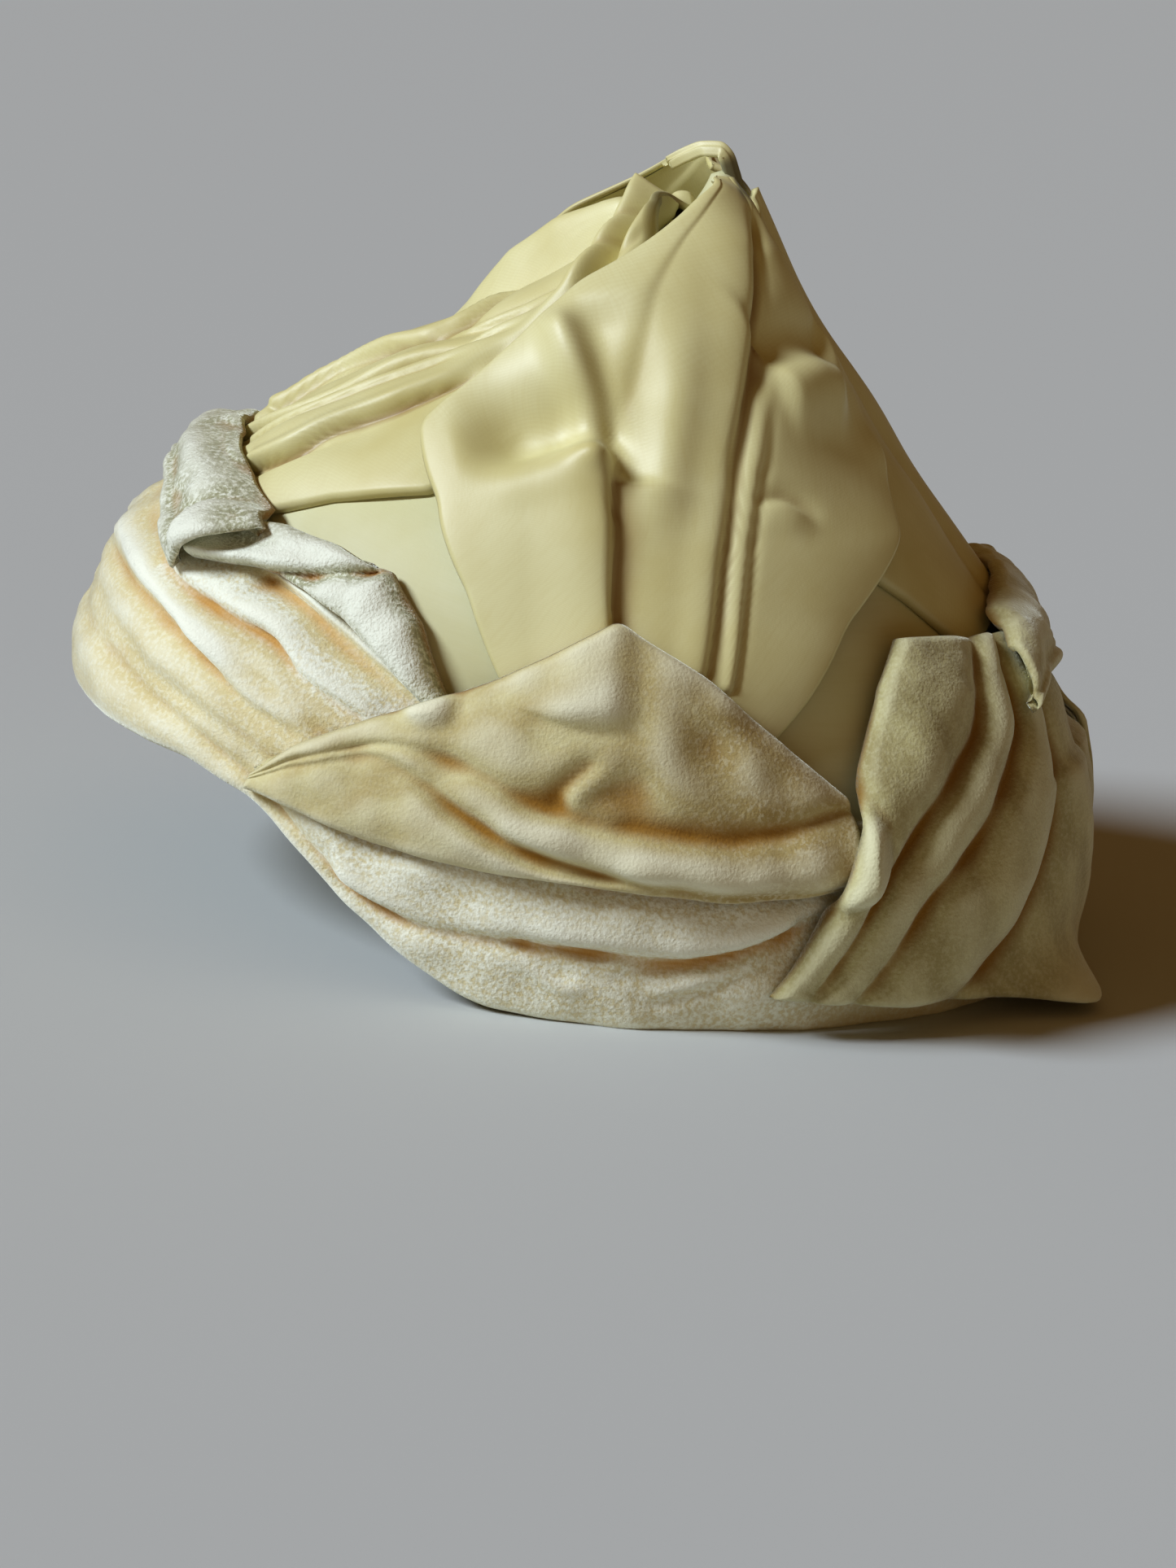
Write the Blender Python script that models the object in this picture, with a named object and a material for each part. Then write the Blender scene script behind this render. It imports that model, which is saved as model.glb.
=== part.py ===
"""A draped cocktail hat: satin drawn up to a peak, over a pointed cap, with a folded velvet band.

The wearer faces -X, and the left side of the hat is towards -Y. The hat rests on its hem at Z = 0.
Every sheet of cloth is laid out on the cap by angle (degrees round from the front centre, positive on
the left side), height (millimetres up the cap) and lift (millimetres out from the cap's own surface).
"""

from collections import namedtuple

import bmesh
import bpy
import numpy as np

MM = 0.001

# Driving sizes, in millimetres
CAP_WALL = 2.0
SATIN_WALL = 1.5
VELVET_WALL = 2.2
KNOT_WALL = 3.0
BAND_AIR = 0.7
AIR = 0.4
FRONT_KNOT_SETTLE = 0.65
PEAK_HEIGHT = 158.0
INNER_PEAK_HEIGHT = 139.0
PEAK_BACK = 13.0
ROUNDING = 7.0

Level = namedtuple("Level", "height front back half_width")
CAP_LEVELS = (
    Level(-8, -97, 95, 81),
    Level(0, -98, 96, 82),
    Level(25, -100, 98, 84),
    Level(45, -99, 95, 83),
    Level(60, -96, 87, 80),
    Level(73, -91, 77, 76),
    Level(84, -84, 67, 70),
    Level(95, -73, 57, 62),
    Level(105, -57, 48.5, 53),
    Level(115, -39, 41, 44),
    Level(128, -18, 31.5, 32),
    Level(141, 0, 23, 18),
    Level(152, 9, 17, 7),
    Level(158, 11.5, 14.5, 2.5),
)

# A row for each station along a sheet: its edge a, its edge b, how far each stands off the cap,
# and how far the middle of the sheet bows up the cap between them
Station = namedtuple(
    "Station", "along a_angle a_height a_stand mid_stand b_angle b_height b_stand bow"
)
# A row for each fold: where it begins across the sheet and how far it rises, at even steps along
# the sheet, and how far its crest leans towards the next fold
Fold = namedtuple("Fold", "begins rises lean")
# A row for each hand-made dent or bump: its place along and across, its reach, and its rise
Dent = namedtuple("Dent", "along across reach_along reach_across rise")

HEM = (
    Station(0.00, 0, 39, 6, 10.5, 0, 87, 3, 0),
    Station(0.11, 20, 39, 5, 9.0, 20, 83, 3, 0),
    Station(0.22, 40, 39, 2, 6.0, 40, 75, 1, 0),
    Station(0.28, 50, 34, 0, 3.5, 50, 71, 1, 0),
    Station(0.33, 60, 20, 0, 1.5, 60, 65, 0, 0),
    Station(0.38, 68, 9, 0, 1.0, 68, 56, 0, 0),
    Station(0.43, 77, 1, 0, 1.0, 77, 49, 0, 0),
    Station(0.50, 90, -1, 0, 1.0, 90, 45, 0, 0),
    Station(0.67, 120, -1, 0, 1.0, 120, 42, 0, 0),
    Station(0.83, 150, -1, 0, 1.0, 150, 44, 0, 0),
    Station(1.00, 180, -1, 0, 1.0, 180, 46, 0, 0),
)
BAND_FOLDS = (
    Fold((0, 0, 0, 0, 0, 0, 0, 0, 0, 0), (5, 5, 5, 4, 4, 4, 4, 2, 1, 1), 0.0),
    Fold((0.62, 0.38, 0.10, 0.06, 0.05, 0.08, 0.26, 0.44, 0.3, 0.3), (4, 5, 5, 5, 4.5, 5, 4, 2, 1, 1), 0.3),
    Fold((0.68, 0.52, 0.30, 0.16, 0.28, 0.37, 0.52, 0.56, 0.5, 0.5), (4, 5, 5, 5, 5, 5, 3, 2, 1, 1), 0.4),
    Fold((0.74, 0.66, 0.50, 0.45, 0.60, 0.66, 0.68, 0.70, 0.7, 0.7), (4, 5, 5, 4, 2, 2, 2, 1, 1, 1), 0.4),
    Fold((0.80, 0.75, 0.68, 0.72, 0.80, 0.84, 0.86, 0.88, 0.9, 0.9), (4, 5, 5, 4, 1, 1, 1, 1, 1, 1), 0.2),
)

FRONT_DRAPE = (
    Station(0.00, 29, 83, 0, 0, -29, 83, 0, 5),
    Station(0.25, 43, 90, 0, 0, -43, 90, 0, 9),
    Station(0.50, 60, 95, 0, 0, -60, 95, 0, 15),
    Station(0.75, 68, 107, 0, 0, -68, 107, 0, 22),
    Station(1.00, 78, 123, 0, 0, -78, 123, 0, 30),
)
FRONT_DRAPE_FOLDS = (
    Fold((0, 0, 0, 0, 0), (1.0, 1.2, 1.2, 1.2, 1.0), 0.0),
    Fold((0.20, 0.17, 0.21, 0.22, 0.20), (3, 4.5, 4.5, 4, 3), 0.0),
    Fold((0.42, 0.40, 0.36, 0.33, 0.31), (3, 5, 6, 8, 10), 0.2),
    Fold((0.52, 0.50, 0.46, 0.45, 0.47), (3, 5, 7, 10, 14), 0.3),
    Fold((0.62, 0.60, 0.57, 0.58, 0.62), (3, 4, 4.5, 4, 3), 0.0),
    Fold((0.80, 0.82, 0.79, 0.78, 0.80), (1.0, 1.2, 1.2, 1.2, 1.0), 0.0),
)

BACK_DRAPE = (
    Station(0.00, 152, 69, 0, 0, 208, 69, 0, 4),
    Station(0.33, 144, 80, 0, 0.5, 216, 80, 0, 9),
    Station(0.66, 130, 93, 0, 1.0, 230, 93, 0, 20),
    Station(1.00, 106, 122, 0, 1.0, 254, 122, 0, 32),
)
BACK_DRAPE_FOLDS = (
    Fold((0, 0, 0), (1.5, 2.5, 1.0), 0.2),
    Fold((0.35, 0.42, 0.40), (2, 3, 1.5), -0.2),
    Fold((0.68, 0.72, 0.70), (1.5, 2.0, 1.0), 0.0),
)

SIDE_PANEL = (
    Station(0.00, 76, 156, 3, 3.0, 104, 156, 3.0, 0),
    Station(0.08, 84, 149, 9, 7.0, 116, 149, 6, 0),
    Station(0.24, 67, 136, 13, 8.0, 128, 138, 7, 0),
    Station(0.37, 55, 126, 13, 7.0, 141, 127, 7, 0),
    Station(0.50, 55, 113, 12, 6.0, 148, 114, 6, 0),
    Station(0.62, 57, 100, 9, 5.0, 149, 101, 6, 0),
    Station(0.74, 64, 92, 4, 4.0, 143, 89, 5, 0),
    Station(0.87, 74, 78, 2, 2.5, 126, 76, 2, 0),
    Station(1.00, 80, 61, 1, 2.0, 109, 54, 1, 0),
)
SIDE_PANEL_FOLDS = (
    Fold((0, 0, 0, 0, 0), (0.5, 1.0, 4.0, 4.5, 2.5), 0.9),
    Fold((0.10, 0.20, 0.38, 0.38, 0.40), (0.3, 3.0, 2.0, 1.5, 1.0), -0.3),
    Fold((0.60, 0.76, 0.70, 0.62, 0.66), (0.3, 1.5, 3.5, 4.0, 2.5), 0.0),
    Fold((0.80, 0.85, 0.78, 0.70, 0.76), (0.3, 1.5, 2.0, 2.0, 1.0), -0.3),
)
SIDE_PANEL_DENTS = (
    Dent(0.50, 0.22, 0.05, 0.12, -3.5),
    Dent(0.44, 0.42, 0.06, 0.08, -2.5),
)
# The right panel's front edge stands this much further out
RIGHT_EDGE_STAND = 7.0

SIDE_PETAL = (
    Station(0.00, 49, 37.0, 8, 8, 50, 40, 8, 0),
    Station(0.12, 56, 35.5, 8, 7, 56, 48, 7, 0),
    Station(0.25, 65, 32.0, 7, 7, 64, 55, 5, 0),
    Station(0.42, 78, 30.0, 7, 6, 78, 65, 3, 0),
    Station(0.55, 87, 30.0, 7, 5, 86, 71, 3, 0),
    Station(0.65, 94, 29.0, 7, 5, 94, 77, 3, 0),
    Station(0.78, 104, 28.0, 7, 5, 104, 68, 3, 0),
    Station(0.90, 112, 29.0, 7, 6, 112, 57, 3, 0),
    Station(1.00, 119, 31.0, 7, 7, 119, 47, 4, 0),
)
SIDE_PETAL_FOLDS = (
    Fold((0, 0, 0, 0, 0, 0, 0, 0, 0), (0.5, 2, 2, 2, 1, 0.5, 0.5, 0.5, 0.5), 0.0),
    Fold((0.60, 0.66, 0.72, 0.36, 0.14, 0.06, 0.05, 0.05, 0.05), (0.5, 1, 1.5, 3, 4, 4, 4, 3.5, 3), 0.0),
    Fold((0.72, 0.76, 0.78, 0.60, 0.36, 0.26, 0.29, 0.44, 0.85), (0.5, 1.5, 2, 3, 4, 4, 4, 3, 1), -0.2),
)
SIDE_PETAL_DENTS = (
    Dent(0.60, 0.42, 0.04, 0.12, -1.8),
    Dent(0.70, 0.55, 0.04, 0.16, 1.2),
)

FRONT_LEAF = (
    Station(0.0, 33, 71.0, 6, 6, 31, 80, 6, 0),
    Station(0.2, 42, 72.5, 5, 5, 42, 83, 4, 0),
    Station(0.4, 50, 70.0, 5, 4, 52, 82.5, 3, 0),
    Station(0.6, 56, 66.0, 5, 4, 62, 80.5, 2, 0),
    Station(0.8, 62, 61.0, 5, 4, 68, 73, 2, 0),
    Station(1.0, 69, 55.0, 5, 4, 73, 59, 3, 0),
)
FRONT_LEAF_FOLDS = (
    Fold((0, 0, 0, 0, 0, 0), (1, 1, 1.5, 2.5, 3, 1), 0.3),
    Fold((0.25, 0.40, 0.66, 0.92, 0.94, 0.94), (3, 5, 4.5, 1.5, 0.5, 0.3), 0.0),
)

BACK_PANEL = (
    Station(0.00, 135, 74, 3, 3, 179.8, 66, 1, 0),
    Station(0.12, 128, 66, 3, 3, 179.8, 62, 0, 0),
    Station(0.35, 121, 52, 4, 3, 179.8, 50, 0, 0),
    Station(0.55, 117, 38, 5, 4, 179.8, 36, 0, 0),
    Station(0.75, 115, 27, 7, 5, 179.8, 22, 0, 0),
    Station(0.90, 112, 15, 7, 6, 179.8, 10, 0, 0),
    Station(1.00, 110, 9, 7, 7, 179.8, 1, 0, 0),
)
BACK_PANEL_FOLDS = (
    Fold((0, 0, 0, 0, 0), (2, 4, 5, 4, 1), 0.1),
    Fold((0.33, 0.30, 0.14, 0.07, 0.06), (3, 5, 5, 4, 2), 0.0),
    Fold((0.42, 0.44, 0.31, 0.18, 0.13), (3, 5, 6, 6, 3), 0.2),
    Fold((0.54, 0.58, 0.55, 0.46, 0.32), (2, 4, 4, 4, 4), 0.3),
    Fold((0.74, 0.80, 0.80, 0.82, 0.82), (1, 2, 2, 1.5, 1), 0.0),
)
BACK_PANEL_DENTS = (Dent(1.0, 0.66, 0.13, 0.13, 13.0),)

FRONT_KNOT = (
    Station(0.00, 31, 69, 3, 7, 43, 80, 2, 0),
    Station(0.15, 22, 74, 4, 9, 35, 85, 2, 0),
    Station(0.32, 12, 78, 4, 10, 20, 89, 2, 0),
    Station(0.50, 0, 80, 4, 10, 0, 91, 2, 0),
    Station(0.68, -12, 78, 4, 10, -20, 89, 2, 0),
    Station(0.85, -22, 74, 4, 9, -35, 85, 2, 0),
    Station(1.00, -31, 69, 3, 7, -43, 80, 2, 0),
)
BACK_KNOT = (
    Station(0.00, 149, 56, 10, 10, 152, 67, 8, 0),
    Station(0.20, 158, 60, 7, 9, 158, 74, 5, 0),
    Station(0.50, 180, 61, 5, 6, 180, 77, 3, 0),
    Station(0.80, 202, 60, 7, 9, 202, 74, 5, 0),
    Station(1.00, 211, 56, 10, 10, 208, 67, 8, 0),
)
KNOT_FOLDS = (
    Fold((0, 0, 0), (2, 2.5, 2), 0.0),
    Fold((0.55, 0.5, 0.55), (2, 2.5, 2), 0.0),
)

# The cap's lower edge, tucked up inside the band: angle and height
CapEdge = namedtuple("CapEdge", "angle height")
CAP_EDGE = (
    CapEdge(0, 44),
    CapEdge(40, 43),
    CapEdge(50, 38),
    CapEdge(60, 24),
    CapEdge(68, 13),
    CapEdge(77, 5),
    CapEdge(90, 3),
    CapEdge(180, 3),
)
CAP_ROW_HEIGHTS = (0.0, 0.2, 0.4, 0.55, 0.68, 0.79, 0.88, 0.96, 1.0)
CAP_COLUMNS = 34

# The tip over the peak: its reach forward, to each side and up, and where its middle sits
PINCH_REACH = (6.5, 5.0, 2.6)
PINCH_MIDDLE = (10.5, 0.0, 160.1)

# The two cloths, with their colours in linear light
Finish = namedtuple("Finish", "name colour roughness sheen")
SATIN = Finish("satin", (0.79, 0.68, 0.42), 0.38, 0.2)
VELVET = Finish("velvet", (0.80, 0.62, 0.37), 0.75, 0.8)


def clear_scene():
    for old in list(bpy.data.objects):
        bpy.data.objects.remove(old, do_unlink=True)


def column(rows, field):
    return np.array([getattr(row, field) for row in rows], float)


def rounded(at, known, values, reach):
    """A table read in straight runs, whose corners are rounded over this reach to each side."""
    steps = np.linspace(-reach, reach, 9)
    inside = [np.interp(at + step, known, values) for step in steps]
    return np.mean(inside, axis=0)


def cap_skin(angle, height):
    levels = column(CAP_LEVELS, "height")
    front, back, half = (
        rounded(height, levels, column(CAP_LEVELS, field), ROUNDING)
        for field in ("front", "back", "half_width")
    )
    turn = np.radians(angle)
    middle, reach = (front + back) / 2, (back - front) / 2
    return np.stack(
        [middle - reach * np.cos(turn), -half * np.sin(turn), height + 0 * turn], axis=-1
    )


def on_cap(angle, height, lift):
    """The point at this lift straight out from the cap's skin."""
    around = cap_skin(angle + 0.5, height) - cap_skin(angle - 0.5, height)
    upward = cap_skin(angle, height + 0.5) - cap_skin(angle, height - 0.5)
    out = np.cross(around, upward)
    out /= np.linalg.norm(out, axis=-1, keepdims=True)
    return cap_skin(angle, height) + out * np.asarray(lift)[..., None]


class Pile:
    """How far what has been laid so far stands off the cap, by whole degrees and millimetres."""

    LOW = -12
    HIGH = 165
    FINE = 9

    def __init__(self):
        self.top = np.zeros((360, self.HIGH - self.LOW + 1))

    def places(self, angle, height):
        return (
            np.rint(angle).astype(int) % 360,
            np.clip(np.rint(height).astype(int), self.LOW, self.HIGH) - self.LOW,
        )

    def under(self, angle, height, reach):
        """The highest lift within this reach of each place, evened out without cutting into it."""
        even = self.top
        for work in (np.max, np.mean):
            for axis in (0, 1):
                shifted = [np.roll(even, step, axis) for step in range(-reach, reach + 1)]
                even = work(shifted, axis=0)
        return even[self.places(angle, height)]

    def add(self, angle, height, lift):
        """Lays a sheet on the pile, filling between its own rows and columns."""
        fine = [self.between(self.between(grid).T).T for grid in (angle, height, lift)]
        np.maximum.at(self.top, self.places(fine[0], fine[1]), fine[2])

    def between(self, grid):
        rows = np.arange(len(grid))
        at = np.linspace(0, len(grid) - 1, (len(grid) - 1) * self.FINE + 1)
        return np.array([np.interp(at, rows, line) for line in grid.T]).T


def arch(share, crest):
    """A fold's cross-section: 0 at its two creases and 1 at its crest."""
    up = np.where(share < crest, share / crest, (1 - share) / (1 - crest))
    return (1 - (1 - np.clip(up, 0, 1)) ** 2) ** 0.7


def along_places(stations, step):
    """Places along the sheet: every station, and even steps no longer than this between them."""
    known = column(stations, "along")
    places = [known[:1]]
    for low, high in zip(known, known[1:]):
        count = int(np.ceil((high - low) / step - 1e-6))
        places.append(np.linspace(low, high, count + 1)[1:])
    return np.concatenate(places)


def laid_out(stations, folds, dents, step, corner):
    """The angle, height, stand and rise of a sheet: a row along it and three columns to a fold."""
    along = along_places(stations, step)
    known = column(stations, "along")
    at = {f: rounded(along, known, column(stations, f), corner) for f in Station._fields[1:]}
    for field, values in at.items():
        ends = column(stations, field)
        values[0], values[-1] = ends[0], ends[-1]
    steps = np.linspace(0, 1, len(folds[0].begins))
    begins = [np.interp(along, steps, fold.begins) for fold in folds] + [np.ones_like(along)]
    across, rise = [], []
    for index, fold in enumerate(folds):
        crest = 0.5 + 0.35 * fold.lean
        height = np.interp(along, steps, fold.rises)
        last = index == len(folds) - 1
        for share in (0, crest * 0.6, crest + (1 - crest) * 0.4, 1)[: 4 if last else 3]:
            across.append(begins[index] + (begins[index + 1] - begins[index]) * share)
            rise.append(height * arch(np.array(share), crest))
    v, rise = np.array(across).T, np.array(rise).T
    u = along[:, None]
    for dent in dents:
        far = ((u - dent.along) / dent.reach_along) ** 2 + ((v - dent.across) / dent.reach_across) ** 2
        rise = rise + dent.rise * np.exp(-far)
    edge = {field: values[:, None] for field, values in at.items()}
    angle = edge["a_angle"] * (1 - v) + edge["b_angle"] * v
    height = edge["a_height"] * (1 - v) + edge["b_height"] * v + edge["bow"] * 4 * v * (1 - v)
    straight = edge["a_stand"] * (1 - v) + edge["b_stand"] * v
    middle = edge["mid_stand"] - (edge["a_stand"] + edge["b_stand"]) / 2
    return angle, height, straight + middle * 4 * v * (1 - v), rise


def wall_between(name, inner, outer, finish, collection, joins=False):
    """A closed wall: a grid set on the inner points, extruded, and its far side set on the outer."""
    rows, columns = inner.shape[:2]
    mesh = bpy.data.meshes.new(name)
    bm = bmesh.new()
    bmesh.ops.create_grid(bm, x_segments=columns - 1, y_segments=rows - 1, size=1)
    place = bm.verts.layers.int.new("place")
    bm.verts.ensure_lookup_table()
    for index, vert in enumerate(bm.verts):
        vert[place] = index
        vert.co = inner[index // columns, index % columns] * MM
    if joins:
        bmesh.ops.remove_doubles(bm, verts=bm.verts[:], dist=1e-6)
    made = bmesh.ops.extrude_face_region(bm, geom=bm.faces[:])
    for vert in made["geom"]:
        if isinstance(vert, bmesh.types.BMVert):
            vert.co = outer[vert[place] // columns, vert[place] % columns] * MM
    bmesh.ops.remove_doubles(bm, verts=bm.verts[:], dist=1e-6)
    bmesh.ops.recalc_face_normals(bm, faces=bm.faces[:])
    bm.to_mesh(mesh)
    bm.free()
    mesh.shade_smooth()
    mesh.set_sharp_from_angle(angle=np.radians(50))
    made = bpy.data.objects.new(name, mesh)
    collection.objects.link(made)
    return finished_in(made, finish)


def flat_hem(points):
    """Cloth that would reach below the surface lies flat on it."""
    points[..., 2] = np.maximum(points[..., 2], 0)
    return points


def cloth(name, pile, layout, side, wall, finish, collection, ring=False, settle=0):
    """One sheet of cloth, laid over what is already on the pile."""
    angle, height, stand, rise = layout
    angle = angle * side
    laid = pile.under(angle, height, reach=3) + (BAND_AIR if ring else AIR) - settle
    inner_lift = np.maximum(np.maximum(laid, stand) + rise, laid)
    outer_lift = inner_lift + wall
    inner = flat_hem(on_cap(angle, height, inner_lift))
    outer = flat_hem(on_cap(angle, height, outer_lift))
    made = wall_between(name, inner, outer, finish, collection, joins=ring)
    pile.add(angle, height, outer_lift)
    return made


def right_panel(stations):
    """The right panel, whose front edge stands further out along its upper half."""
    return [
        row._replace(a_stand=row.a_stand + RIGHT_EDGE_STAND * np.exp(-(((row.along - 0.28) / 0.25) ** 4)))
        for row in stations
    ]


def both_halves(layout):
    """A half ring from the front centre to the back, continued round the other side."""
    angle, height, stand, rise = layout
    ring = [np.concatenate([grid[::-1], grid[1:]]) for grid in (-angle, height, stand, rise)]
    ring[0][: len(angle)] = -angle[::-1]
    ring[0][len(angle) :] = angle[1:]
    return ring


def finished_in(made, finish):
    """Gives the piece a material of its own in this cloth."""
    material = bpy.data.materials.new(made.name + "_" + finish.name)
    material.use_nodes = True
    shader = material.node_tree.nodes["Principled BSDF"]
    shader.inputs["Base Color"].default_value = (*finish.colour, 1)
    shader.inputs["Roughness"].default_value = finish.roughness
    shader.inputs["Sheen Weight"].default_value = finish.sheen
    material.diffuse_color = (*finish.colour, 1)
    made.data.materials.append(material)
    return made


def foundation_cap(finish, collection):
    """The stiff pointed cap, covered in flat satin: open below, and filled solid at its tip."""
    angle = np.linspace(-180, 180, CAP_COLUMNS + 1)[None, :]
    low = np.interp(abs(angle), column(CAP_EDGE, "angle"), column(CAP_EDGE, "height"))
    share = np.array(CAP_ROW_HEIGHTS)[:, None]
    outer_height = low + (PEAK_HEIGHT - low) * share
    inner_height = low + (INNER_PEAK_HEIGHT - low) * share
    angle = angle + 0 * share
    outer = on_cap(angle, outer_height, 0 * angle)
    inner = on_cap(angle, inner_height, 0 * angle - CAP_WALL)
    outer[-1] = (PEAK_BACK, 0, PEAK_HEIGHT)
    inner[-1] = (PEAK_BACK, 0, INNER_PEAK_HEIGHT)
    return wall_between("foundation_cap", inner, outer, finish, collection, joins=True)


def peak_pinch(finish, collection):
    """The little gathered tip of satin sewn over the top of the peak."""
    bpy.ops.mesh.primitive_uv_sphere_add(segments=14, ring_count=7, radius=1, location=(0, 0, 0))
    pinch = bpy.context.object
    pinch.name = pinch.data.name = "peak_pinch"
    for vert in pinch.data.vertices:
        x, y, z = vert.co
        gather = 1 + 0.12 * np.cos(7 * np.arctan2(y, x))
        flat_under = max(z, -0.4)
        shaped = (x * gather, y * gather * (1 - 0.25 * x), flat_under - 0.25 * x * x)
        vert.co = [(m + r * part) * MM for m, r, part in zip(PINCH_MIDDLE, PINCH_REACH, shaped)]
    for holder in pinch.users_collection:
        holder.objects.unlink(pinch)
    collection.objects.link(pinch)
    return finished_in(pinch, finish)


def centre_on_origin(objects):
    """Slides the hat along X until the middle of its length is at the origin."""
    corners = np.array([(o.matrix_world @ v.co)[0] for o in objects for v in o.data.vertices])
    slide = -(corners.min() + corners.max()) / 2
    for made in objects:
        for vert in made.data.vertices:
            vert.co.x += slide


def build_hat():
    clear_scene()
    hat = bpy.data.collections.new("draped_hat")
    bpy.context.scene.collection.children.link(hat)
    pile = Pile()
    made = [foundation_cap(SATIN, hat)]
    drape = laid_out(FRONT_DRAPE, FRONT_DRAPE_FOLDS, (), 0.125, 0.03)
    made.append(cloth("front_drape", pile, drape, 1, SATIN_WALL, SATIN, hat))
    drape = laid_out(BACK_DRAPE, BACK_DRAPE_FOLDS, (), 0.125, 0.03)
    made.append(cloth("back_drape", pile, drape, 1, SATIN_WALL, SATIN, hat))
    band = both_halves(laid_out(HEM, BAND_FOLDS, (), 0.06, 0.01))
    made.append(cloth("velvet_band", pile, band, 1, VELVET_WALL, VELVET, hat, ring=True))
    for side, word in ((1, "left"), (-1, "right")):
        stations = SIDE_PANEL if side > 0 else right_panel(SIDE_PANEL)
        panel = laid_out(stations, SIDE_PANEL_FOLDS, SIDE_PANEL_DENTS, 0.065, 0.01)
        made.append(cloth("side_panel_" + word, pile, panel, side, SATIN_WALL, SATIN, hat))
        leaf = laid_out(FRONT_LEAF, FRONT_LEAF_FOLDS, (), 0.1, 0.03)
        made.append(cloth("front_leaf_" + word, pile, leaf, side, VELVET_WALL, VELVET, hat))
        petal = laid_out(SIDE_PETAL, SIDE_PETAL_FOLDS, SIDE_PETAL_DENTS, 0.07, 0.01)
        made.append(cloth("side_petal_" + word, pile, petal, side, VELVET_WALL, VELVET, hat))
        back = laid_out(BACK_PANEL, BACK_PANEL_FOLDS, BACK_PANEL_DENTS, 0.09, 0.02)
        made.append(cloth("back_panel_" + word, pile, back, side, VELVET_WALL, VELVET, hat))
    knot = laid_out(FRONT_KNOT, KNOT_FOLDS, (), 0.07, 0.04)
    made.append(cloth("front_knot", pile, knot, 1, KNOT_WALL, VELVET, hat, settle=FRONT_KNOT_SETTLE))
    knot = laid_out(BACK_KNOT, KNOT_FOLDS, (), 0.07, 0.04)
    made.append(cloth("back_knot", pile, knot, 1, KNOT_WALL, VELVET, hat))
    made.append(peak_pinch(SATIN, hat))
    bpy.context.view_layer.update()
    centre_on_origin(made)


build_hat()
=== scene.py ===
# %% [markdown]
# # A draped cocktail hat: the looks
#
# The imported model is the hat's construction: fifteen plain pieces, each in its place and at its real
# size. This script dresses them in cloth: heavy satin, drawn up from the forehead to a peak, and
# velvet, folded round the hem, rolled into petals at the sides and gathered behind. Every fold is
# shaped by moving the points of a fine sheet in code; no cloth is simulated.

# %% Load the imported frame
import math
from collections import namedtuple

import bpy
import numpy as np
from mathutils import Matrix, Vector


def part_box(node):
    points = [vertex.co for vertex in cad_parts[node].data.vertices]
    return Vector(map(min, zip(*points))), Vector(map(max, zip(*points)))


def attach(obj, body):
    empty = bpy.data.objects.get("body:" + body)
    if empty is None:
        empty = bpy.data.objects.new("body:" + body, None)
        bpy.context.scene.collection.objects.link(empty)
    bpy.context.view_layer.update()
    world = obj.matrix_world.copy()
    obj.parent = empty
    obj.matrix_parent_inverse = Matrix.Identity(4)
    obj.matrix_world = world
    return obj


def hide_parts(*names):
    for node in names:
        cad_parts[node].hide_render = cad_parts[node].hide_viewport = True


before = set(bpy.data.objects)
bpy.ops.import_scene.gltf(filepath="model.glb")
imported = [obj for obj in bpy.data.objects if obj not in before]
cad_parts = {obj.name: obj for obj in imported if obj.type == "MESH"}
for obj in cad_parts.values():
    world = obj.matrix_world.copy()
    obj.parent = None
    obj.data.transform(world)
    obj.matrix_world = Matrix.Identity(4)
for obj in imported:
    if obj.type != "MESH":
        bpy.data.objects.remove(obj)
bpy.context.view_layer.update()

MM = 0.001
print("nodes to dress:", sorted(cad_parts))

# %% [markdown]
# ## Camera
#
# The hat was photographed from its left side and a little above, with its front lowered a few degrees.
# The camera looks at a point just above the middle of the hem, from 80 cm away, which gives the
# photograph's slight narrowing towards the far side.

# %% Camera
PHOTO_HEIGHT_PX = 1927
FOCAL_PX = 4560.0
SENSOR_MM = 36.0
CAMERA_DISTANCE = 800.0
CAMERA_RISE = math.radians(16.0)
FRONT_DROP = math.radians(5.5)
TARGET_HEIGHT = 24.4
# Nearer than this, in metres, nothing is drawn
NEAREST_DRAWN = 0.05
# The middle of the hem lies this far behind the origin, the middle of the hat's length
HEM_MIDDLE = 1.834


def drop_front(x, y, z):
    """A direction of the level camera, turned with the hat until its front is lowered."""
    c, s = math.cos(FRONT_DROP), math.sin(FRONT_DROP)
    return Vector((c * x - s * z, y, s * x + c * z))


camera_right = drop_front(1, 0, 0)
camera_up = drop_front(0, math.sin(CAMERA_RISE), math.cos(CAMERA_RISE))
camera_back = drop_front(0, -math.cos(CAMERA_RISE), math.sin(CAMERA_RISE))
target = drop_front(0, 0, TARGET_HEIGHT) + Vector((HEM_MIDDLE, 0, 0))
turned = Matrix((camera_right, camera_up, camera_back)).transposed().to_4x4()
bpy.ops.object.camera_add()
camera = bpy.context.object
camera.name = "camera"
camera.matrix_world = Matrix.Translation((target + camera_back * CAMERA_DISTANCE) * MM) @ turned
camera.data.sensor_width = SENSOR_MM
camera.data.lens = SENSOR_MM * FOCAL_PX / PHOTO_HEIGHT_PX
camera.data.clip_start = NEAREST_DRAWN
bpy.context.scene.camera = camera
print("camera at", tuple(round(v, 3) for v in camera.location), "lens", round(camera.data.lens, 1))

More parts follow.
